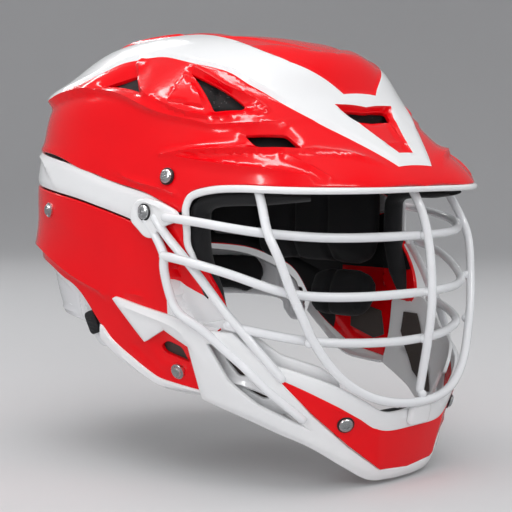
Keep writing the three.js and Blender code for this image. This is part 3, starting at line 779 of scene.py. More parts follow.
# ---------------------------------------------------------------------------------------------
# Chin guard. A glossy white moulding with a long window each side and a bowl for the red
# insert; a second, inner skin shows through the windows and carries a dark mesh patch.
# ---------------------------------------------------------------------------------------------
guard_top = [(0, -95), (9, -95), (15, -86.5), (21, -77), (28.5, -68.5), (34, -63.5), (37, -57.5),
             (42, -46.5), (49, -45.7), (57.5, -40), (70.5, -35), (81.5, -31)]
guard_low = [(81.5, -31.8), (68.8, -55.5), (61, -46.5), (53, -55.6), (49.4, -87.2), (38.5, -96.3),
             (31, -104.3), (24, -112.5), (17, -124.6), (11, -134), (5, -135.7), (0, -136)]
guard_points = Wrap.draw(guard_top + guard_low)
guard_smooth = np.concatenate([
    smooth_line(guard_points[:7]), smooth_line(guard_points[7:12]), guard_points[12:16],
    smooth_line(guard_points[16:])])
guard_outline = np.concatenate([guard_smooth, mirrored(guard_smooth)])
moves_on = np.linalg.norm(np.diff(guard_outline, axis=0), axis=1) > 0.05
guard_outline = np.concatenate([guard_outline[:1], guard_outline[1:][moves_on]])
window = rounded(Wrap.draw([(48.4, -51.5), (42.6, -75), (36, -88), (23.9, -103), (32, -83.8),
                            (39, -63), (44.4, -52.6)]), 2.4)
insert_top = [(0, -104.6), (10, -103.6), (16, -94), (21, -85.6), (27, -76.4), (33.2, -68.3)]
insert_low = [(33.2, -68.6), (25, -93.4), (17, -113.4), (13, -122), (9, -129.4), (0, -131.4)]
insert_side = np.concatenate([smooth_line(Wrap.draw(insert_top)), Wrap.draw(insert_low)])
insert_hole = np.concatenate([insert_side, mirrored(insert_side)[1:-1]])
arm_crease = smooth_line(Wrap.draw([(78, -34.6), (65, -39.6), (56.5, -44.6), (51, -55), (47.5, -70)]))
chin_crease = smooth_line(Wrap.draw([(46, -86), (36, -93.4), (27, -104.4), (17, -119), (10, -131)]))


def guard_relief(xy):
    half = Wrap.near_half(xy)
    edge_gap = near(half, guard_smooth)[0]
    height = 3.6 - 1.0 * (1 - np.clip(edge_gap / 2.4, 0, 1)) ** 2
    height += ridge(half, arm_crease, (0.2, 1.2, 1.4, 1.0, 0.3), 5, 4)
    height += ridge(half, chin_crease, (0.2, 0.8, 0.9, 0.8, 0.2), 5, 5)
    return height


chin_guard = moulding("chin_guard_outer", Wrap, guard_outline, guard_relief, 3.1, 2.0,
                      holes=[*twins(window), insert_hole], lines=twins(arm_crease, chin_crease),
                      round_edge=1.0)
show(chin_guard, "helmet", "white_shell", ["chin_guard"], gloss_white)

skin_outline = Wrap.draw([
    (52.6, -45), (44, -40), (41, -44.5), (37.5, -50.4), (33, -59.4), (24.7, -67), (20.4, -76), (20, -84),
    (24, -84), (24, -112), (36, -99), (49, -88)])
skin_holes = [Wrap.draw(h) for h in (
    [(45.9, -54.6), (43.3, -54.2), (37.2, -73.4), (41.2, -74.6), (44.4, -65)],
    [(40.8, -80.6), (37.0, -81.4), (32.7, -86.4), (35.3, -88)],
    [(31.6, -95.2), (28.3, -96.6), (24.9, -103.6), (25.8, -107)])]
skin_bar = smooth_line(Wrap.draw([(44.6, -76.6), (39, -78.4), (33, -84.4)]))


def skin_relief(xy):
    return -3.6 + ridge(Wrap.near_half(xy), skin_bar, (2.6, 2.8, 2.0), 3.6, 3.6)


for side in SIDES:
    skin = moulding(f"chin_guard_inner_{side}", Wrap, on_side(side, rounded(skin_outline, 2.5)),
                    skin_relief, 2.2, 2.0, holes=[on_side(side, rounded(h, 2)) for h in skin_holes],
                    lines=[on_side(side, skin_bar)])
    show(skin, "helmet", "white_shell", [], gloss_white)


def level_relief(lift):
    """A relief with no shape of its own: the same lift everywhere."""
    return lambda xy: np.full(len(xy), float(lift))


mesh_dark = plastic("mesh_patch", (0.075, 0.06, 0.055), 0.6, (0.02, 0.018, 0.018), dimple=0.3, coat=0.0)
patch_outline = Wrap.draw([(47, -53), (42.4, -53), (36, -75), (31, -86), (24.6, -99), (27, -100),
                           (36, -90), (42.6, -76), (46, -66)])
screen_outline = Wrap.draw([(67, -57), (62, -51), (55, -54), (51.5, -70), (55, -73), (66, -66.5)])
for side in SIDES:
    for name, outline, lift in (("guard_mesh", patch_outline, -6.3),
                                ("cheek_screen", screen_outline, -7.4)):
        patch = moulding(f"{name}_{side}", Wrap, on_side(side, outline), level_relief(lift), 0.8, 2.4,
                         round_edge=0.3)
        show(patch, "helmet", "black_plastic", [], mesh_dark)

# ---------------------------------------------------------------------------------------------
# Chin insert. A glossy red plate let into the bowl of the guard and held by one screw a side,
# with a flat facet at the middle of the chin.
# ---------------------------------------------------------------------------------------------
insert_shrunk = np.concatenate([
    smooth_line(Wrap.draw([(0, -105.6), (9.6, -104.8), (15.8, -95.4), (20.6, -87.2), (26.6, -78.2),
                           (31.4, -72)])),
    Wrap.draw([(31.3, -73), (24.4, -92.4), (16.6, -111.6), (12.7, -120), (8.7, -128.2), (0, -130.3)])])
insert_outline = np.concatenate([insert_shrunk, mirrored(insert_shrunk)[1:-1]])
insert_crease = smooth_line(Wrap.draw([(24.5, -84.4), (21, -88), (18.6, -92.5), (16.4, -96.6)]))
lower_crease = smooth_line(Wrap.draw([(18.6, -104.8), (16, -109.4), (13.4, -113.4)]))
facet_edge = Wrap.draw([(11.2, -106), (9.6, -127.2)])


def insert_relief(xy):
    half = Wrap.near_half(xy)
    height = 3.4 + ridge(half, insert_crease, (0, 0.9, 0.9, 0), 5, 2)
    height += ridge(half, lower_crease, (0, 0.8, 0), 4, 2)
    height += ridge(half, facet_edge, (1.1, 1.3), 6, 9)
    return height


chin_insert = moulding("chin_insert_plate", Wrap, insert_outline, insert_relief, 2.6, 1.8,
                       lines=twins(insert_crease, lower_crease, facet_edge))
show(chin_insert, "helmet", "red_shell", ["chin_insert"], gloss_red)

# ---------------------------------------------------------------------------------------------
# Face cage. Steel wire, bent cold, resistance welded at every crossing and powder coated
# white. The bars run outside the face, the loop and the upright one wire further out.
# ---------------------------------------------------------------------------------------------
WIRE = 2.7  # radius of the coated wire
BEND_PASSES = 24  # rounds of smoothing, which set how wide the bends are


def wire_line(points):
    """A smooth bent wire through [x, forwards, height] points."""
    p = even(smooth_line(np.array(points, float) * [1, -1, 1]), 2.5)
    for _ in range(BEND_PASSES):
        p[1:-1] = p[:-2] / 4 + p[1:-1] / 2 + p[2:] / 4
    return p


def round_wire(points):
    """A bent wire with its two cut ends rounded over."""
    path = wire_line(points)
    run = np.gradient(path, axis=0)
    run /= np.linalg.norm(run, axis=1, keepdims=True)
    caps = []
    for end, way in ((path[0], -run[0]), (path[-1], run[-1])):
        caps.append([end + way * WIRE * 0.5, end + way * WIRE * 0.85])
    path = np.concatenate([caps[0][::-1], path, caps[1]])
    size = np.full(len(path), WIRE)
    size[[0, -1]] *= 0.5
    size[[1, -2]] *= 0.88
    guide = np.array([0.13, 0.21, 1.0])  # along no wire of the cage
    return swept(path, np.broadcast_to(guide, path.shape).copy(), size, size, 14)


def weld(centre):
    """The bead that a weld leaves where two wires cross."""
    made = bmesh.new()
    bmesh.ops.create_icosphere(made, subdivisions=2, radius=WIRE * 1.06)
    points = np.array([v.co for v in made.verts]) + np.array(centre) * [1, -1, 1]
    faces = [tuple(v.index for v in f.verts) for f in made.faces]
    made.free()
    return points, faces


def across(points):
    """The same points on the other side."""
    return [(-x, f, z) for x, f, z in points]


def both_sides(half):
    """A wire drawn from the wearer's left to the middle, carried on to the right."""
    return [*half, *across(half[:-1][::-1])]


TOP_BAR = [(87, 101, 45.5), (82, 116, 45.5), (63, 135, 46), (30, 147, 46), (0, 150, 46)]
BAR_1 = [(113.2, 68.6, 19.8), (109.5, 92, 17.5), (103, 112, 14.5), (91.5, 128.5, 11.8), (66, 149, 9),
         (34, 163, 8.5), (0, 167, 8.5)]
BAR_2 = [(114.2, 68, -2.6), (113, 85, -4.8), (103, 113, -11.8), (84, 139.5, -22.6), (52, 159, -25),
         (24, 168, -25), (0, 170.5, -25)]
BAR_3 = [(99, 104.5, -41.5), (89, 125, -45.5), (72, 145, -49.8), (48, 157, -52), (22, 165.5, -53),
         (0, 167.5, -53)]
LOOP = [(89, 117, 41), (91.5, 123.5, 31), (96.2, 132.8, 11.8), (94.2, 138.9, 0), (89, 143.8, -20),
        (83, 148.1, -36), (77, 151, -50), (62, 158, -71), (41, 165, -84), (19, 170, -89), (0, 171, -90)]
UPRIGHT = [(0, 156.5, 42), (0, 166, 28), (0, 173.2, 8.5), (0, 176.7, -25), (0, 173.8, -53),
           (0, 168, -83.5)]
UPPER_STAY = [(111.4, 58, 19), (110.9, 62.5, 13), (109.9, 70, 5.4), (107.9, 80.5, -5),
              (103.9, 95, -21.6), (99.6, 105.4, -36), (97.2, 112.4, -42.6), (94.3, 117.4, -49.8),
              (90.2, 123.2, -57.8), (86.2, 128, -65), (82.6, 131.6, -71)]
LOWER_STAY = [(114.2, 68.6, -2.8), (113.8, 66.8, -8), (111.8, 68.4, -20), (109.8, 71.4, -32),
              (109.0, 74.5, -36.4), (106.6, 83, -40.6), (102.4, 90.4, -46.2), (98.9, 100, -54.8),
              (92.9, 112.4, -65.6), (85.7, 121.6, -77.5), (76, 131.8, -89.2), (70, 136.4, -95.6)]
SPUR = [(110.6, 49.6, 17), (110.4, 52.6, 13.6), (110.3, 57, 9), (110.6, 62.8, 1.4), (111.4, 66.4, -4.4)]
WELDS = [(92.6, 130, 11.6), (86.5, 142, -22.6), (78, 148, -49.6), (0, 170.2, 8.5), (0, 173.6, -25),
         (0, 170.8, -53), (0, 169.8, -86), (113.9, 68.4, -3.4), (99, 106, -40.6), (0, 154.4, 44),
         (87.6, 114, 43), (107.6, 81.4, -5.4)]
wires = [both_sides(w) for w in (TOP_BAR, BAR_1, BAR_2, BAR_3, LOOP)] + [UPRIGHT]
for stay in (UPPER_STAY, LOWER_STAY, SPUR):
    wires += [stay, across(stay)]
welds = [weld(w) for w in WELDS + [w for w in across(WELDS) if w[0]]]
face_cage = joined("face_cage", [round_wire(w) for w in wires] + welds)
cage_white = plastic("powder_coat", (0.84, 0.85, 0.87), 0.24, (0.76, 0.77, 0.8), dimple=0.12, coat=0.35)
CAGE_PARTS = ["cage_bar_top", "cage_bar_1", "cage_bar_2", "cage_bar_3", "cage_loop", "cage_upright"]
CAGE_PARTS += [f"cage_stay_{place}_{side}" for place in ("upper", "lower") for side in SIDES]
show(face_cage, "helmet", "cage_coat", CAGE_PARTS, cage_white)

# ---------------------------------------------------------------------------------------------
# Cage clips. A white forked plate under each cage bolt, and one small clip that ties the loop
# to the top of the chin guard.
# ---------------------------------------------------------------------------------------------
clip_outline = rounded(Wrap.draw([(70, 22), (68.6, 27.4), (64.4, 29.0), (60.4, 27.2), (55.4, 22.4),
                                  (54.8, 18.6), (58.6, 16.0), (61.0, 12.4), (62.4, 8.2), (65, 8.6),
                                  (67.4, 13), (70, 17)]), 2.6)
clip_rib = smooth_line(Wrap.draw([(68.4, 25.6), (65.2, 27.6), (61.4, 26.2), (57.8, 23)]))


def clip_relief(xy):
    half = Wrap.near_half(xy)
    centre = np.array([65.2 * Wrap.stretch, 22])
    seat = np.clip((np.hypot(*(half - centre).T) - 5.2) / 1.2, 0, 1)
    return 4.6 + 0.9 * seat + ridge(half, clip_rib, (0, 1.0, 1.0, 0), 1.6, 1.6)


for side in SIDES:
    clip = moulding(f"cage_clip_plate_{side}", Wrap, on_side(side, clip_outline), clip_relief, 4.2, 1.2,
                    lines=[on_side(side, clip_rib)], round_edge=1.4)
    show(clip, "helmet", "white_trim", [f"cage_clip_{side}"], gloss_white)
rim_outline = rounded(Wrap.draw([(3, -92.4), (3, -102), (-3, -102), (-3, -92.4)]), 1.6)
rim_clip = moulding("rim_clip_block", Wrap, rim_outline, lambda xy: 6.6 + 0.8 * np.cos(xy[:, 0] / 6),
                    3.4, 1.2, round_edge=1.1)
show(rim_clip, "helmet", "white_trim", ["rim_clip"], gloss_white)

# ---------------------------------------------------------------------------------------------
# Fasteners. Six pan head screws with a lobed drive on dark washers, and four ringed snaps for
# the chin strap, all plated steel.
# ---------------------------------------------------------------------------------------------
def turned_head(name, profile, lobes=0, recess=1.7, sides=48):
    """A turned head from a profile of (radius, height) millimetres. With lobes, what lies within
    the recess radius is a lobed drive recess."""
    q = np.linspace(0, 2 * math.pi, sides, endpoint=False)
    points, faces = [], []
    for r, h in profile:
        wide = np.full(sides, float(r))
        if lobes and r <= recess + 0.01:
            wide = r * (1 + 0.2 * np.cos(lobes * q))
        points.append(np.stack([wide * np.cos(q), wide * np.sin(q), np.full(sides, float(h))], -1))
    for i in range(len(profile) - 1):
        for j in range(sides):
            k = (j + 1) % sides
            faces.append((i * sides + j, i * sides + k, (i + 1) * sides + k, (i + 1) * sides + j))
    faces.append(tuple(range((len(profile) - 1) * sides, len(profile) * sides)))
    faces.append(tuple(range(sides))[::-1])
    return joined(name, [(np.concatenate(points), faces)])


def fastener_tree():
    """Places one head at each point, facing along the point's own outward direction."""
    tree = bpy.data.node_groups.new("place_fasteners", "GeometryNodeTree")
    face = tree.interface
    face.new_socket("Geometry", in_out="OUTPUT", socket_type="NodeSocketGeometry")
    face.new_socket("Geometry", in_out="INPUT", socket_type="NodeSocketGeometry")
    face.new_socket("Head", in_out="INPUT", socket_type="NodeSocketObject")
    face.new_socket("Head size", in_out="INPUT", socket_type="NodeSocketFloat").default_value = 1.0
    face.new_socket("Finish", in_out="INPUT", socket_type="NodeSocketMaterial")
    add, link = tree.nodes.new, tree.links.new
    given, result = add("NodeGroupInput"), add("NodeGroupOutput")
    head = add("GeometryNodeObjectInfo")
    way = add("GeometryNodeInputNamedAttribute")
    way.data_type = "FLOAT_VECTOR"
    way.inputs["Name"].default_value = "outward"
    aim = add("FunctionNodeAlignRotationToVector")
    aim.axis = "Z"
    put = add("GeometryNodeInstanceOnPoints")
    real = add("GeometryNodeRealizeInstances")
    coat = add("GeometryNodeSetMaterial")
    link(given.outputs["Head"], head.inputs["Object"])
    link(way.outputs["Attribute"], aim.inputs["Vector"])
    link(given.outputs["Geometry"], put.inputs["Points"])
    link(head.outputs["Geometry"], put.inputs["Instance"])
    link(aim.outputs["Rotation"], put.inputs["Rotation"])
    link(given.outputs["Head size"], put.inputs["Scale"])
    link(put.outputs["Instances"], real.inputs["Geometry"])
    link(real.outputs["Geometry"], coat.inputs["Geometry"])
    link(given.outputs["Finish"], coat.inputs["Material"])
    link(coat.outputs["Geometry"], result.inputs["Geometry"])
    return tree


place_fasteners = fastener_tree()


def plain(piece):
    """The evaluated piece as a plain mesh, its modifiers gone."""
    depsgraph = bpy.context.evaluated_depsgraph_get()
    mesh = bpy.data.meshes.new_from_object(piece.evaluated_get(depsgraph), depsgraph=depsgraph)
    piece.modifiers.clear()
    piece.data = mesh
    mesh.name = piece.name
    return piece


def fasteners(name, head, spots, finish, size=1.0):
    """One head at each (angle, height, lift) spot, both sides."""
    spots = [(s * a, z, lift) for a, z, lift in spots for s in (1, -1)]
    flat = Wrap.draw([(a, z) for a, z, _ in spots])
    lift = np.array([s[2] for s in spots])
    feet = on_plane(Wrap, flat, lift)
    out = on_plane(Wrap, flat, lift + 10) - feet
    mesh = bpy.data.meshes.new(name)
    mesh.from_pydata((feet * MM).tolist(), [], [])
    way = mesh.attributes.new("outward", "FLOAT_VECTOR", "POINT")
    way.data.foreach_set("vector", (out / 10).ravel())
    piece = bpy.data.objects.new(name, mesh)
    scene.collection.objects.link(piece)
    modifier = piece.modifiers.new("fasteners", "NODES")
    modifier.node_group = place_fasteners
    sockets = {s.name: s.identifier for s in place_fasteners.interface.items_tree
               if s.in_out == "INPUT"}
    modifier[sockets["Head"]] = head
    modifier[sockets["Head size"]] = size
    modifier[sockets["Finish"]] = finish
    plain(piece)
    bpy.data.objects.remove(head)
    return piece


def plated(name, colour, rough):
    """Plated steel: bright metal with a faint darker mottle."""
    material = plastic(name, colour, rough, tuple(c * 0.7 for c in colour), dimple=0.1, coat=0.0)
    material.node_tree.nodes["Principled BSDF"].inputs["Metallic"].default_value = 1.0
    return material


steel = plated("plated_steel", (0.86, 0.86, 0.87), 0.27)
washer_black = plastic("washer_black", (0.02, 0.02, 0.022), 0.4, (0.035, 0.035, 0.037), coat=0.1)
PAN = [(4.0, -1.6), (4.2, 0.2), (4.2, 0.9), (4.05, 1.35), (3.6, 1.85), (2.9, 2.2), (2.15, 2.38),
       (1.7, 2.42), (1.6, 2.2), (1.5, 0.9), (0.8, 0.75)]
WASHER = [(4.9, -1.2), (5.1, 0.0), (5.1, 0.45), (4.8, 0.7), (4.1, 0.72)]
SNAP = [(5.4, -1.4), (5.6, 0.2), (5.6, 0.9), (5.2, 1.3), (4.7, 1.4), (4.4, 1.0), (4.1, 1.0), (3.9, 1.4),
        (3.8, 2.5), (3.4, 2.9), (2.6, 3.1), (1.9, 2.9), (1.5, 2.5), (0.8, 2.4)]
SCREWS = [(59.2, 43, 1.0), (65.2, 22, 4.7), (18.3, -98, 3.6)]
SNAPS = [(58, -73.5, -0.7), (116, 20, 0.3)]
pan_head = turned_head("pan_head", PAN, lobes=6)
screws = fasteners("pan_screws", pan_head, SCREWS, steel)
show(screws, "helmet", "fastener_steel", [f"screw_{k}_{s}" for k in ("upper", "cage", "chin")
                                         for s in SIDES])
washers = fasteners("screw_washers", turned_head("washer_head", WASHER), SCREWS, washer_black)
show(washers, "helmet", "black_plastic", [])
snaps = fasteners("strap_snaps", turned_head("snap_head", SNAP), SNAPS, steel, 0.84)
show(snaps, "helmet", "fastener_steel", [f"snap_{k}_{s}" for k in ("lower", "rear")
                                        for s in SIDES])


# ---------------------------------------------------------------------------------------------
# Crown liner. Black bead foam moulded as one cap with deep channels between its blocks; it is
# pressed up into the crown and shows through the vents.
# ---------------------------------------------------------------------------------------------
class InnerDisc(Disc):
    """The crown's drawing plane on the form without its brim."""

    brow = BROW_REACH


liner_half = smooth_line(Disc.draw([(180, 64.5), (158, 63), (135, 60.6), (105, 52.6), (86, 48), (76, 52),
                                    (66, 66), (54, 84), (30, 85), (12, 84.6), (0, 84.6)]))
liner_outline = both_halves(liner_half)[:-1]
liner_channels = [smooth_line(Disc.draw(c)) for c in (
    [(180, 66), (150, 104), (90, 122), (34, 118), (16, 96), (13, 86)],
    [(122, 58), (112, 84), (98, 104), (84, 122)],
    [(84, 52), (76, 78), (66, 104), (64, 122)],
    [(48, 86), (46, 100), (42, 117)])]


def liner_relief(xy):
    half = Disc.near_half(xy)
    height = np.full(len(xy), -6.0)
    for channel in liner_channels:
        height += ridge(half, channel, (-2.6, -3.2, -3.2, -2.6), 5, 5)
    return height


crown_foam = moulding("crown_foam", InnerDisc, liner_outline, liner_relief, 11, 3.4, round_edge=3)


def foam(name, colour, fleck, grain, fleck_size):
    """Bead foam or a brushed knit cover: matt black, finely pitted, with paler flecks."""
    material = bpy.data.materials.new(name)
    material.use_nodes = True
    nodes, links = material.node_tree.nodes, material.node_tree.links
    shader = nodes["Principled BSDF"]
    shader.inputs["Roughness"].default_value = 0.82
    shader.inputs["Specular IOR Level"].default_value = 0.3
    shader.inputs["Sheen Weight"].default_value = 0.12
    where = nodes.new("ShaderNodeTexCoord")
    cells = nodes.new("ShaderNodeTexVoronoi")
    cells.inputs["Scale"].default_value = fleck_size
    links.new(where.outputs["Object"], cells.inputs["Vector"])
    pick = nodes.new("ShaderNodeMapRange")
    pick.inputs["From Min"].default_value = 0.16
    pick.inputs["From Max"].default_value = 0.05
    links.new(cells.outputs["Distance"], pick.inputs["Value"])
    blend = nodes.new("ShaderNodeMix")
    blend.data_type = "RGBA"
    blend.inputs["A"].default_value = (*colour, 1)
    blend.inputs["B"].default_value = (*fleck, 1)
    links.new(pick.outputs["Result"], blend.inputs["Factor"])
    links.new(blend.outputs["Result"], shader.inputs["Base Color"])
    pits = nodes.new("ShaderNodeTexNoise")
    pits.inputs["Scale"].default_value = grain
    pits.inputs["Detail"].default_value = 4
    links.new(where.outputs["Object"], pits.inputs["Vector"])
    bump = nodes.new("ShaderNodeBump")
    bump.inputs["Strength"].default_value = 0.45
    bump.inputs["Distance"].default_value = 0.0006
    links.new(pits.outputs["Fac"], bump.inputs["Height"])
    links.new(bump.outputs["Normal"], shader.inputs["Normal"])
    return material


bead_foam = foam("bead_foam", (0.012, 0.012, 0.013), (0.16, 0.16, 0.165), 700, 420)
show(crown_foam, "helmet", "foam", ["crown_liner"], bead_foam)

# ---------------------------------------------------------------------------------------------
# Pads. Soft black foam in a brushed knit cover, at the brow, temples, jaw, chin and nape, and
# on the rear cradle. Each is cut flat, blown up to its plump shape and stuck to its backing.
# ---------------------------------------------------------------------------------------------
knit = foam("brushed_knit", (0.014, 0.014, 0.0155), (0.03, 0.03, 0.032), 1500, 900)


class InnerWrap(Wrap):
    """The lower drawing plane on the form without its brim."""

    brow = BROW_REACH


class BrowWrap(InnerWrap):
    """The same, a little further forward, where the brow pad fills the brim."""

    brow = BROW_REACH + 7


def at_vertices(piece, field):
    """The places or the normals of a piece's vertices, in metres."""
    flat = np.empty(len(piece.data.vertices) * 3)
    piece.data.vertices.foreach_get(field, flat)
    return flat.reshape(-1, 3)


def puffed(piece, most, seams=()):
    """Pressure swells the cut pad by no more than most metres; then its seams are drawn in."""
    remesh = piece.modifiers.new("cut_cover", "REMESH")
    remesh.mode = "VOXEL"
    remesh.voxel_size = 0.0042
    remesh.use_smooth_shade = True
    plain(piece)
    start = at_vertices(piece, "co")
    swell = piece.modifiers.new("swell", "CLOTH")
    swell.settings.use_pressure = True
    swell.settings.uniform_pressure_force = 4
    swell.settings.effector_weights.gravity = 0
    swell.point_cache.frame_end = 20
    for step in range(1, 21):
        scene.frame_set(step)
    plain(piece)
    scene.frame_set(1)
    move = at_vertices(piece, "co") - start
    far = np.linalg.norm(move, axis=1, keepdims=True)
    move *= np.minimum(1, most / np.maximum(far, 1e-9))
    piece.data.vertices.foreach_set("co", (start + move).ravel())
    finer = piece.modifiers.new("finer", "SUBSURF")
    finer.levels = finer.render_levels = 1
    plain(piece)
    place, out = at_vertices(piece, "co"), at_vertices(piece, "normal")
    for angle_seam, width, depth in seams:
        angle = np.degrees(np.arctan2(np.abs(place[:, 0]), -place[:, 1]))
        gap = np.abs(angle - angle_seam) * Wrap.stretch * MM
        place = place - out * (depth * np.exp(-((gap / width) ** 2)))[:, None]
    piece.data.vertices.foreach_set("co", place.ravel())
    piece.data.polygons.foreach_set("use_smooth", np.ones(len(piece.data.polygons), bool))
    piece.data.update()
    return piece


def pad(name, plane, start, stop, high, low_edge, lift, thick, node, body="helmet", seams=()):
    """A pad between two plan angles and two heights, its outer face at lift from the form. Each
    seam is (angle, width, depth), the last two in metres."""
    corners = Wrap.draw([(start, high), (stop, high), (stop, low_edge), (start, low_edge)])
    cut = moulding(name, plane, rounded(corners, 12), level_relief(lift), thick, 4.5,
                   round_edge=min(4.0, thick * 0.3))
    puffed(cut, 0.0025, seams)
    show(cut, body, "foam", [node], knit)


# A moulded black foam gasket follows the face opening, just inside the white bead.
gasket_half = Wrap.draw([(47.5, -38), (50.4, -22), (52.6, -6), (53.2, 6), (53.2, 18), (52.6, 25),
                         (49.6, 30), (44, 32), (36, 33), (28, 33.4)])
GASKET_TALL, GASKET_THICK = 4.4, 8.0  # half its width along the face, and half its depth
for side, sign in zip(SIDES, (1, -1)):
    line = even(smooth_line(gasket_half * [sign, 1]), 2.4)
    middle = on_plane(Wrap, line, -12.5)
    outward = on_plane(Wrap, line, 0) - middle
    taper = np.interp(np.linspace(0, 1, len(line)), (0, 0.12, 0.8, 1), (1.5, GASKET_TALL, GASKET_TALL, 1.2))
    thick = GASKET_THICK * np.sqrt(taper / GASKET_TALL)
    gasket = joined(f"face_gasket_{side}", [swept(middle, outward, taper, thick)])
    show(gasket, "helmet", "foam", [], knit)

pad("brow_cushion", BrowWrap, -50.5, 50.5, 70, 51.5, -7.5, 13, "brow_pad",
    seams=((20, 0.002, 0.002), (38, 0.002, 0.002)))
pad("nape_cushion", Wrap, 117, 243, 50, -3, -7.5, 12, "nape_pad",
    seams=((180, 0.0025, 0.003), (158, 0.002, 0.003), (136, 0.002, 0.003)))
pad("cradle_cushion", Wrap, 113, 247, -22.5, -47.5, -11.2, 7, "cradle_pad", "rear_cradle",
    seams=((180, 0.0025, 0.002), (150, 0.002, 0.002)))
for side, sign in zip(SIDES, (1, -1)):
    span = sorted((sign * 59, sign * 112))
    pad(f"temple_cushion_{side}", InnerWrap, *span, 39, -19, -7.4, 13, f"temple_pad_{side}",
        seams=((74, 0.002, 0.003), (94, 0.002, 0.003)))
    span = sorted((sign * 55.5, sign * 81))
    pad(f"jaw_cushion_{side}", InnerWrap, *span, -31, -57, -10.5, 13, f"jaw_pad_{side}",
        seams=((68, 0.002, 0.002),))
pad("chin_cushion", Wrap, -19.5, 19.5, -98.8, -113.4, -5.2, 7, "chin_pad", seams=((0, 0.002, 0.001),))

# ---------------------------------------------------------------------------------------------
# Rear cradle. A stiff white nylon band round the nape, ribbed at its ends, that slides forwards
# to grip the head.
# ---------------------------------------------------------------------------------------------
cradle_outline = round_the_back(
    [(91.4, -56.6), (95, -46), (99, -36.6), (110, -27.6), (125, -19.6), (150, -16.6), (180, -15.6)],
    [(91.4, -65.4), (97, -65.4), (101, -59.4), (105, -51.4), (125, -49.6), (150, -52.6), (180, -55.4)])


def cradle_relief(xy):
    half = Wrap.near_half(xy)
    angle = half[:, 0] / Wrap.stretch
    ribs = np.clip(np.cos(angle * math.pi / 1.7), 0, 1) * np.clip((109 - angle) / 3, 0, 1)
    gap = near(xy, closed_line(cradle_outline))[0]
    edge_lip = 0.9 * (1 - np.clip(np.abs(gap - 3) / 2, 0, 1))
    return -6.5 + 1.0 * ribs * np.clip(gap / 3 - 0.4, 0, 1) + edge_lip * np.clip((angle - 109) / 4, 0, 1)


cradle_band = moulding("cradle_band", Wrap, cradle_outline, cradle_relief, 2.6, 1.7, round_edge=0.9)
show(cradle_band, "rear_cradle", "white_trim", ["rear_cradle"], cage_white)

# ---------------------------------------------------------------------------------------------
# Fit latches. A black nylon lever each side with a grooved thumb grip; it hinges along its
# upper edge and presses on the end of the cradle.
# ---------------------------------------------------------------------------------------------
lever_outline = rounded(Wrap.draw([(100.7, -45.4), (96.2, -42.6), (93.9, -54.8), (98.3, -57.5)]), 2.4)
black_nylon = plastic("black_nylon", (0.016, 0.016, 0.018), 0.42, (0.03, 0.03, 0.033), dimple=0.25,
                      coat=0.1)


def lever_relief(xy):
    grooves = np.clip(np.cos(xy[:, 1] * 2 * math.pi / 2.6), 0, 1)
    gap = near(Wrap.near_half(xy), closed_line(lever_outline))[0]
    return -1.6 + 0.7 * grooves * np.clip(gap / 1.6 - 0.4, 0, 1)


for side in SIDES:
    lever = moulding(f"latch_lever_{side}", Wrap, on_side(side, lever_outline), lever_relief, 2.8, 0.9,
                     round_edge=0.9)
    show(lever, f"latch_{side}", "black_plastic", [f"fit_latch_{side}"], black_nylon)

# ---------------------------------------------------------------------------------------------
# Studio. A pale sheet that curves up all round the helmet, large soft lamps that light it, and
# narrow ones that are only mirrored in its gloss.
# ---------------------------------------------------------------------------------------------
low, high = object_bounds()
floor_z = low[2] - 0.002
dish = [(0.0, 0.0), (1.7, 0.0)] + [
    (1.7 + 1.1 * math.sin(q), 1.1 - 1.1 * math.cos(q)) for q in np.radians(range(6, 91, 6))
] + [(2.8, 3.6)]
sides = 96
paper_points = [(0.0, 0.0, floor_z)]
paper_faces = []
for r, h in dish[1:]:
    for q in np.linspace(0, 2 * math.pi, sides, endpoint=False):
        paper_points.append((r * math.cos(q), r * math.sin(q), floor_z + h))
for i in range(sides):
    k = (i + 1) % sides
    paper_faces.append((0, 1 + i, 1 + k))
    for ring in range(len(dish) - 2):
        a, b = 1 + ring * sides, 1 + (ring + 1) * sides
        paper_faces.append((a + i, b + i, b + k, a + k))
paper = bpy.data.meshes.new("studio_floor")
paper.from_pydata(paper_points, [], paper_faces)
paper.polygons.foreach_set("use_smooth", np.ones(len(paper.polygons), bool))
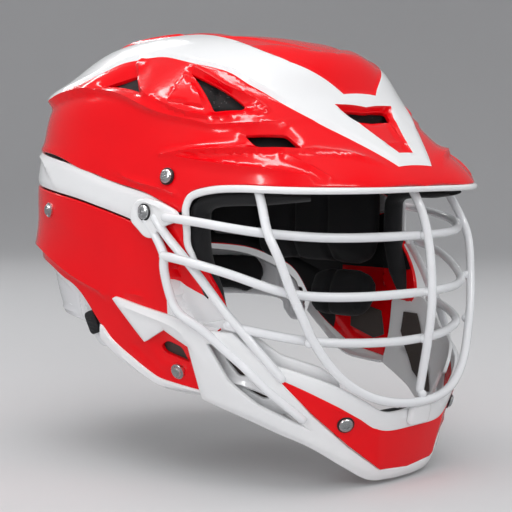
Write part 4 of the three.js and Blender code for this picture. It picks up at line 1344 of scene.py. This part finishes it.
studio_floor = bpy.data.objects.new("studio_floor", paper)
scene.collection.objects.link(studio_floor)
sheet_paper = bpy.data.materials.new("pale_paper")
sheet_paper.use_nodes = True
sheet_paper.node_tree.nodes["Principled BSDF"].inputs["Base Color"].default_value = (.64, .64, .65, 1)
sheet_paper.node_tree.nodes["Principled BSDF"].inputs["Roughness"].default_value = 0.9
paper.materials.append(sheet_paper)
studio_floor.visible_glossy = False
studio_floor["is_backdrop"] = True


def lamp(name, place, size, power, mirrored_in_gloss=True):
    """A flat lamp aimed at the helmet, which lights its colours or is mirrored in its gloss."""
    aim = Vector((0, -0.03, 0.0))
    data = bpy.data.lights.new(name, "AREA")
    data.shape = "RECTANGLE"
    data.size, data.size_y = size
    data.energy = power
    item = bpy.data.objects.new(name, data)
    item.location = place
    item.rotation_mode = "QUATERNION"
    item.rotation_quaternion = (aim - Vector(place)).to_track_quat("-Z", "Y")
    item.visible_glossy = mirrored_in_gloss
    item.visible_diffuse = not mirrored_in_gloss
    scene.collection.objects.link(item)


lamp("overhead_softbox", (-0.2, -0.2, 1.4), (1.6, 1.4), 14, False)
lamp("front_softbox", (-0.9, -1.3, 0.7), (1.2, 1.2), 10.5, False)
lamp("side_softbox", (-1.5, 0.3, 0.5), (1.2, 1.2), 6.8, False)
lamp("far_softbox", (1.3, -0.6, 0.6), (1.2, 1.2), 5.2, False)
lamp("rear_softbox", (0.1, 1.4, 0.8), (1.2, 0.8), 5, False)
lamp("overhead_strip", (-0.35, 0.0, 1.2), (1.3, 0.16), 9)
lamp("front_strip", (-0.2, -1.3, 0.95), (0.9, 0.08), 6)
lamp("side_strip", (-1.4, -0.1, 0.75), (0.08, 0.9), 6)
lamp("rear_strip", (0.3, 1.2, 0.9), (1.0, 0.12), 4)
world = bpy.data.worlds.new("studio_air")
world.use_nodes = True
world.node_tree.nodes["Background"].inputs["Color"].default_value = (0.86, 0.88, 0.9, 1)
world.node_tree.nodes["Background"].inputs["Strength"].default_value = 0.26
scene.world = world

low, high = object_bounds()
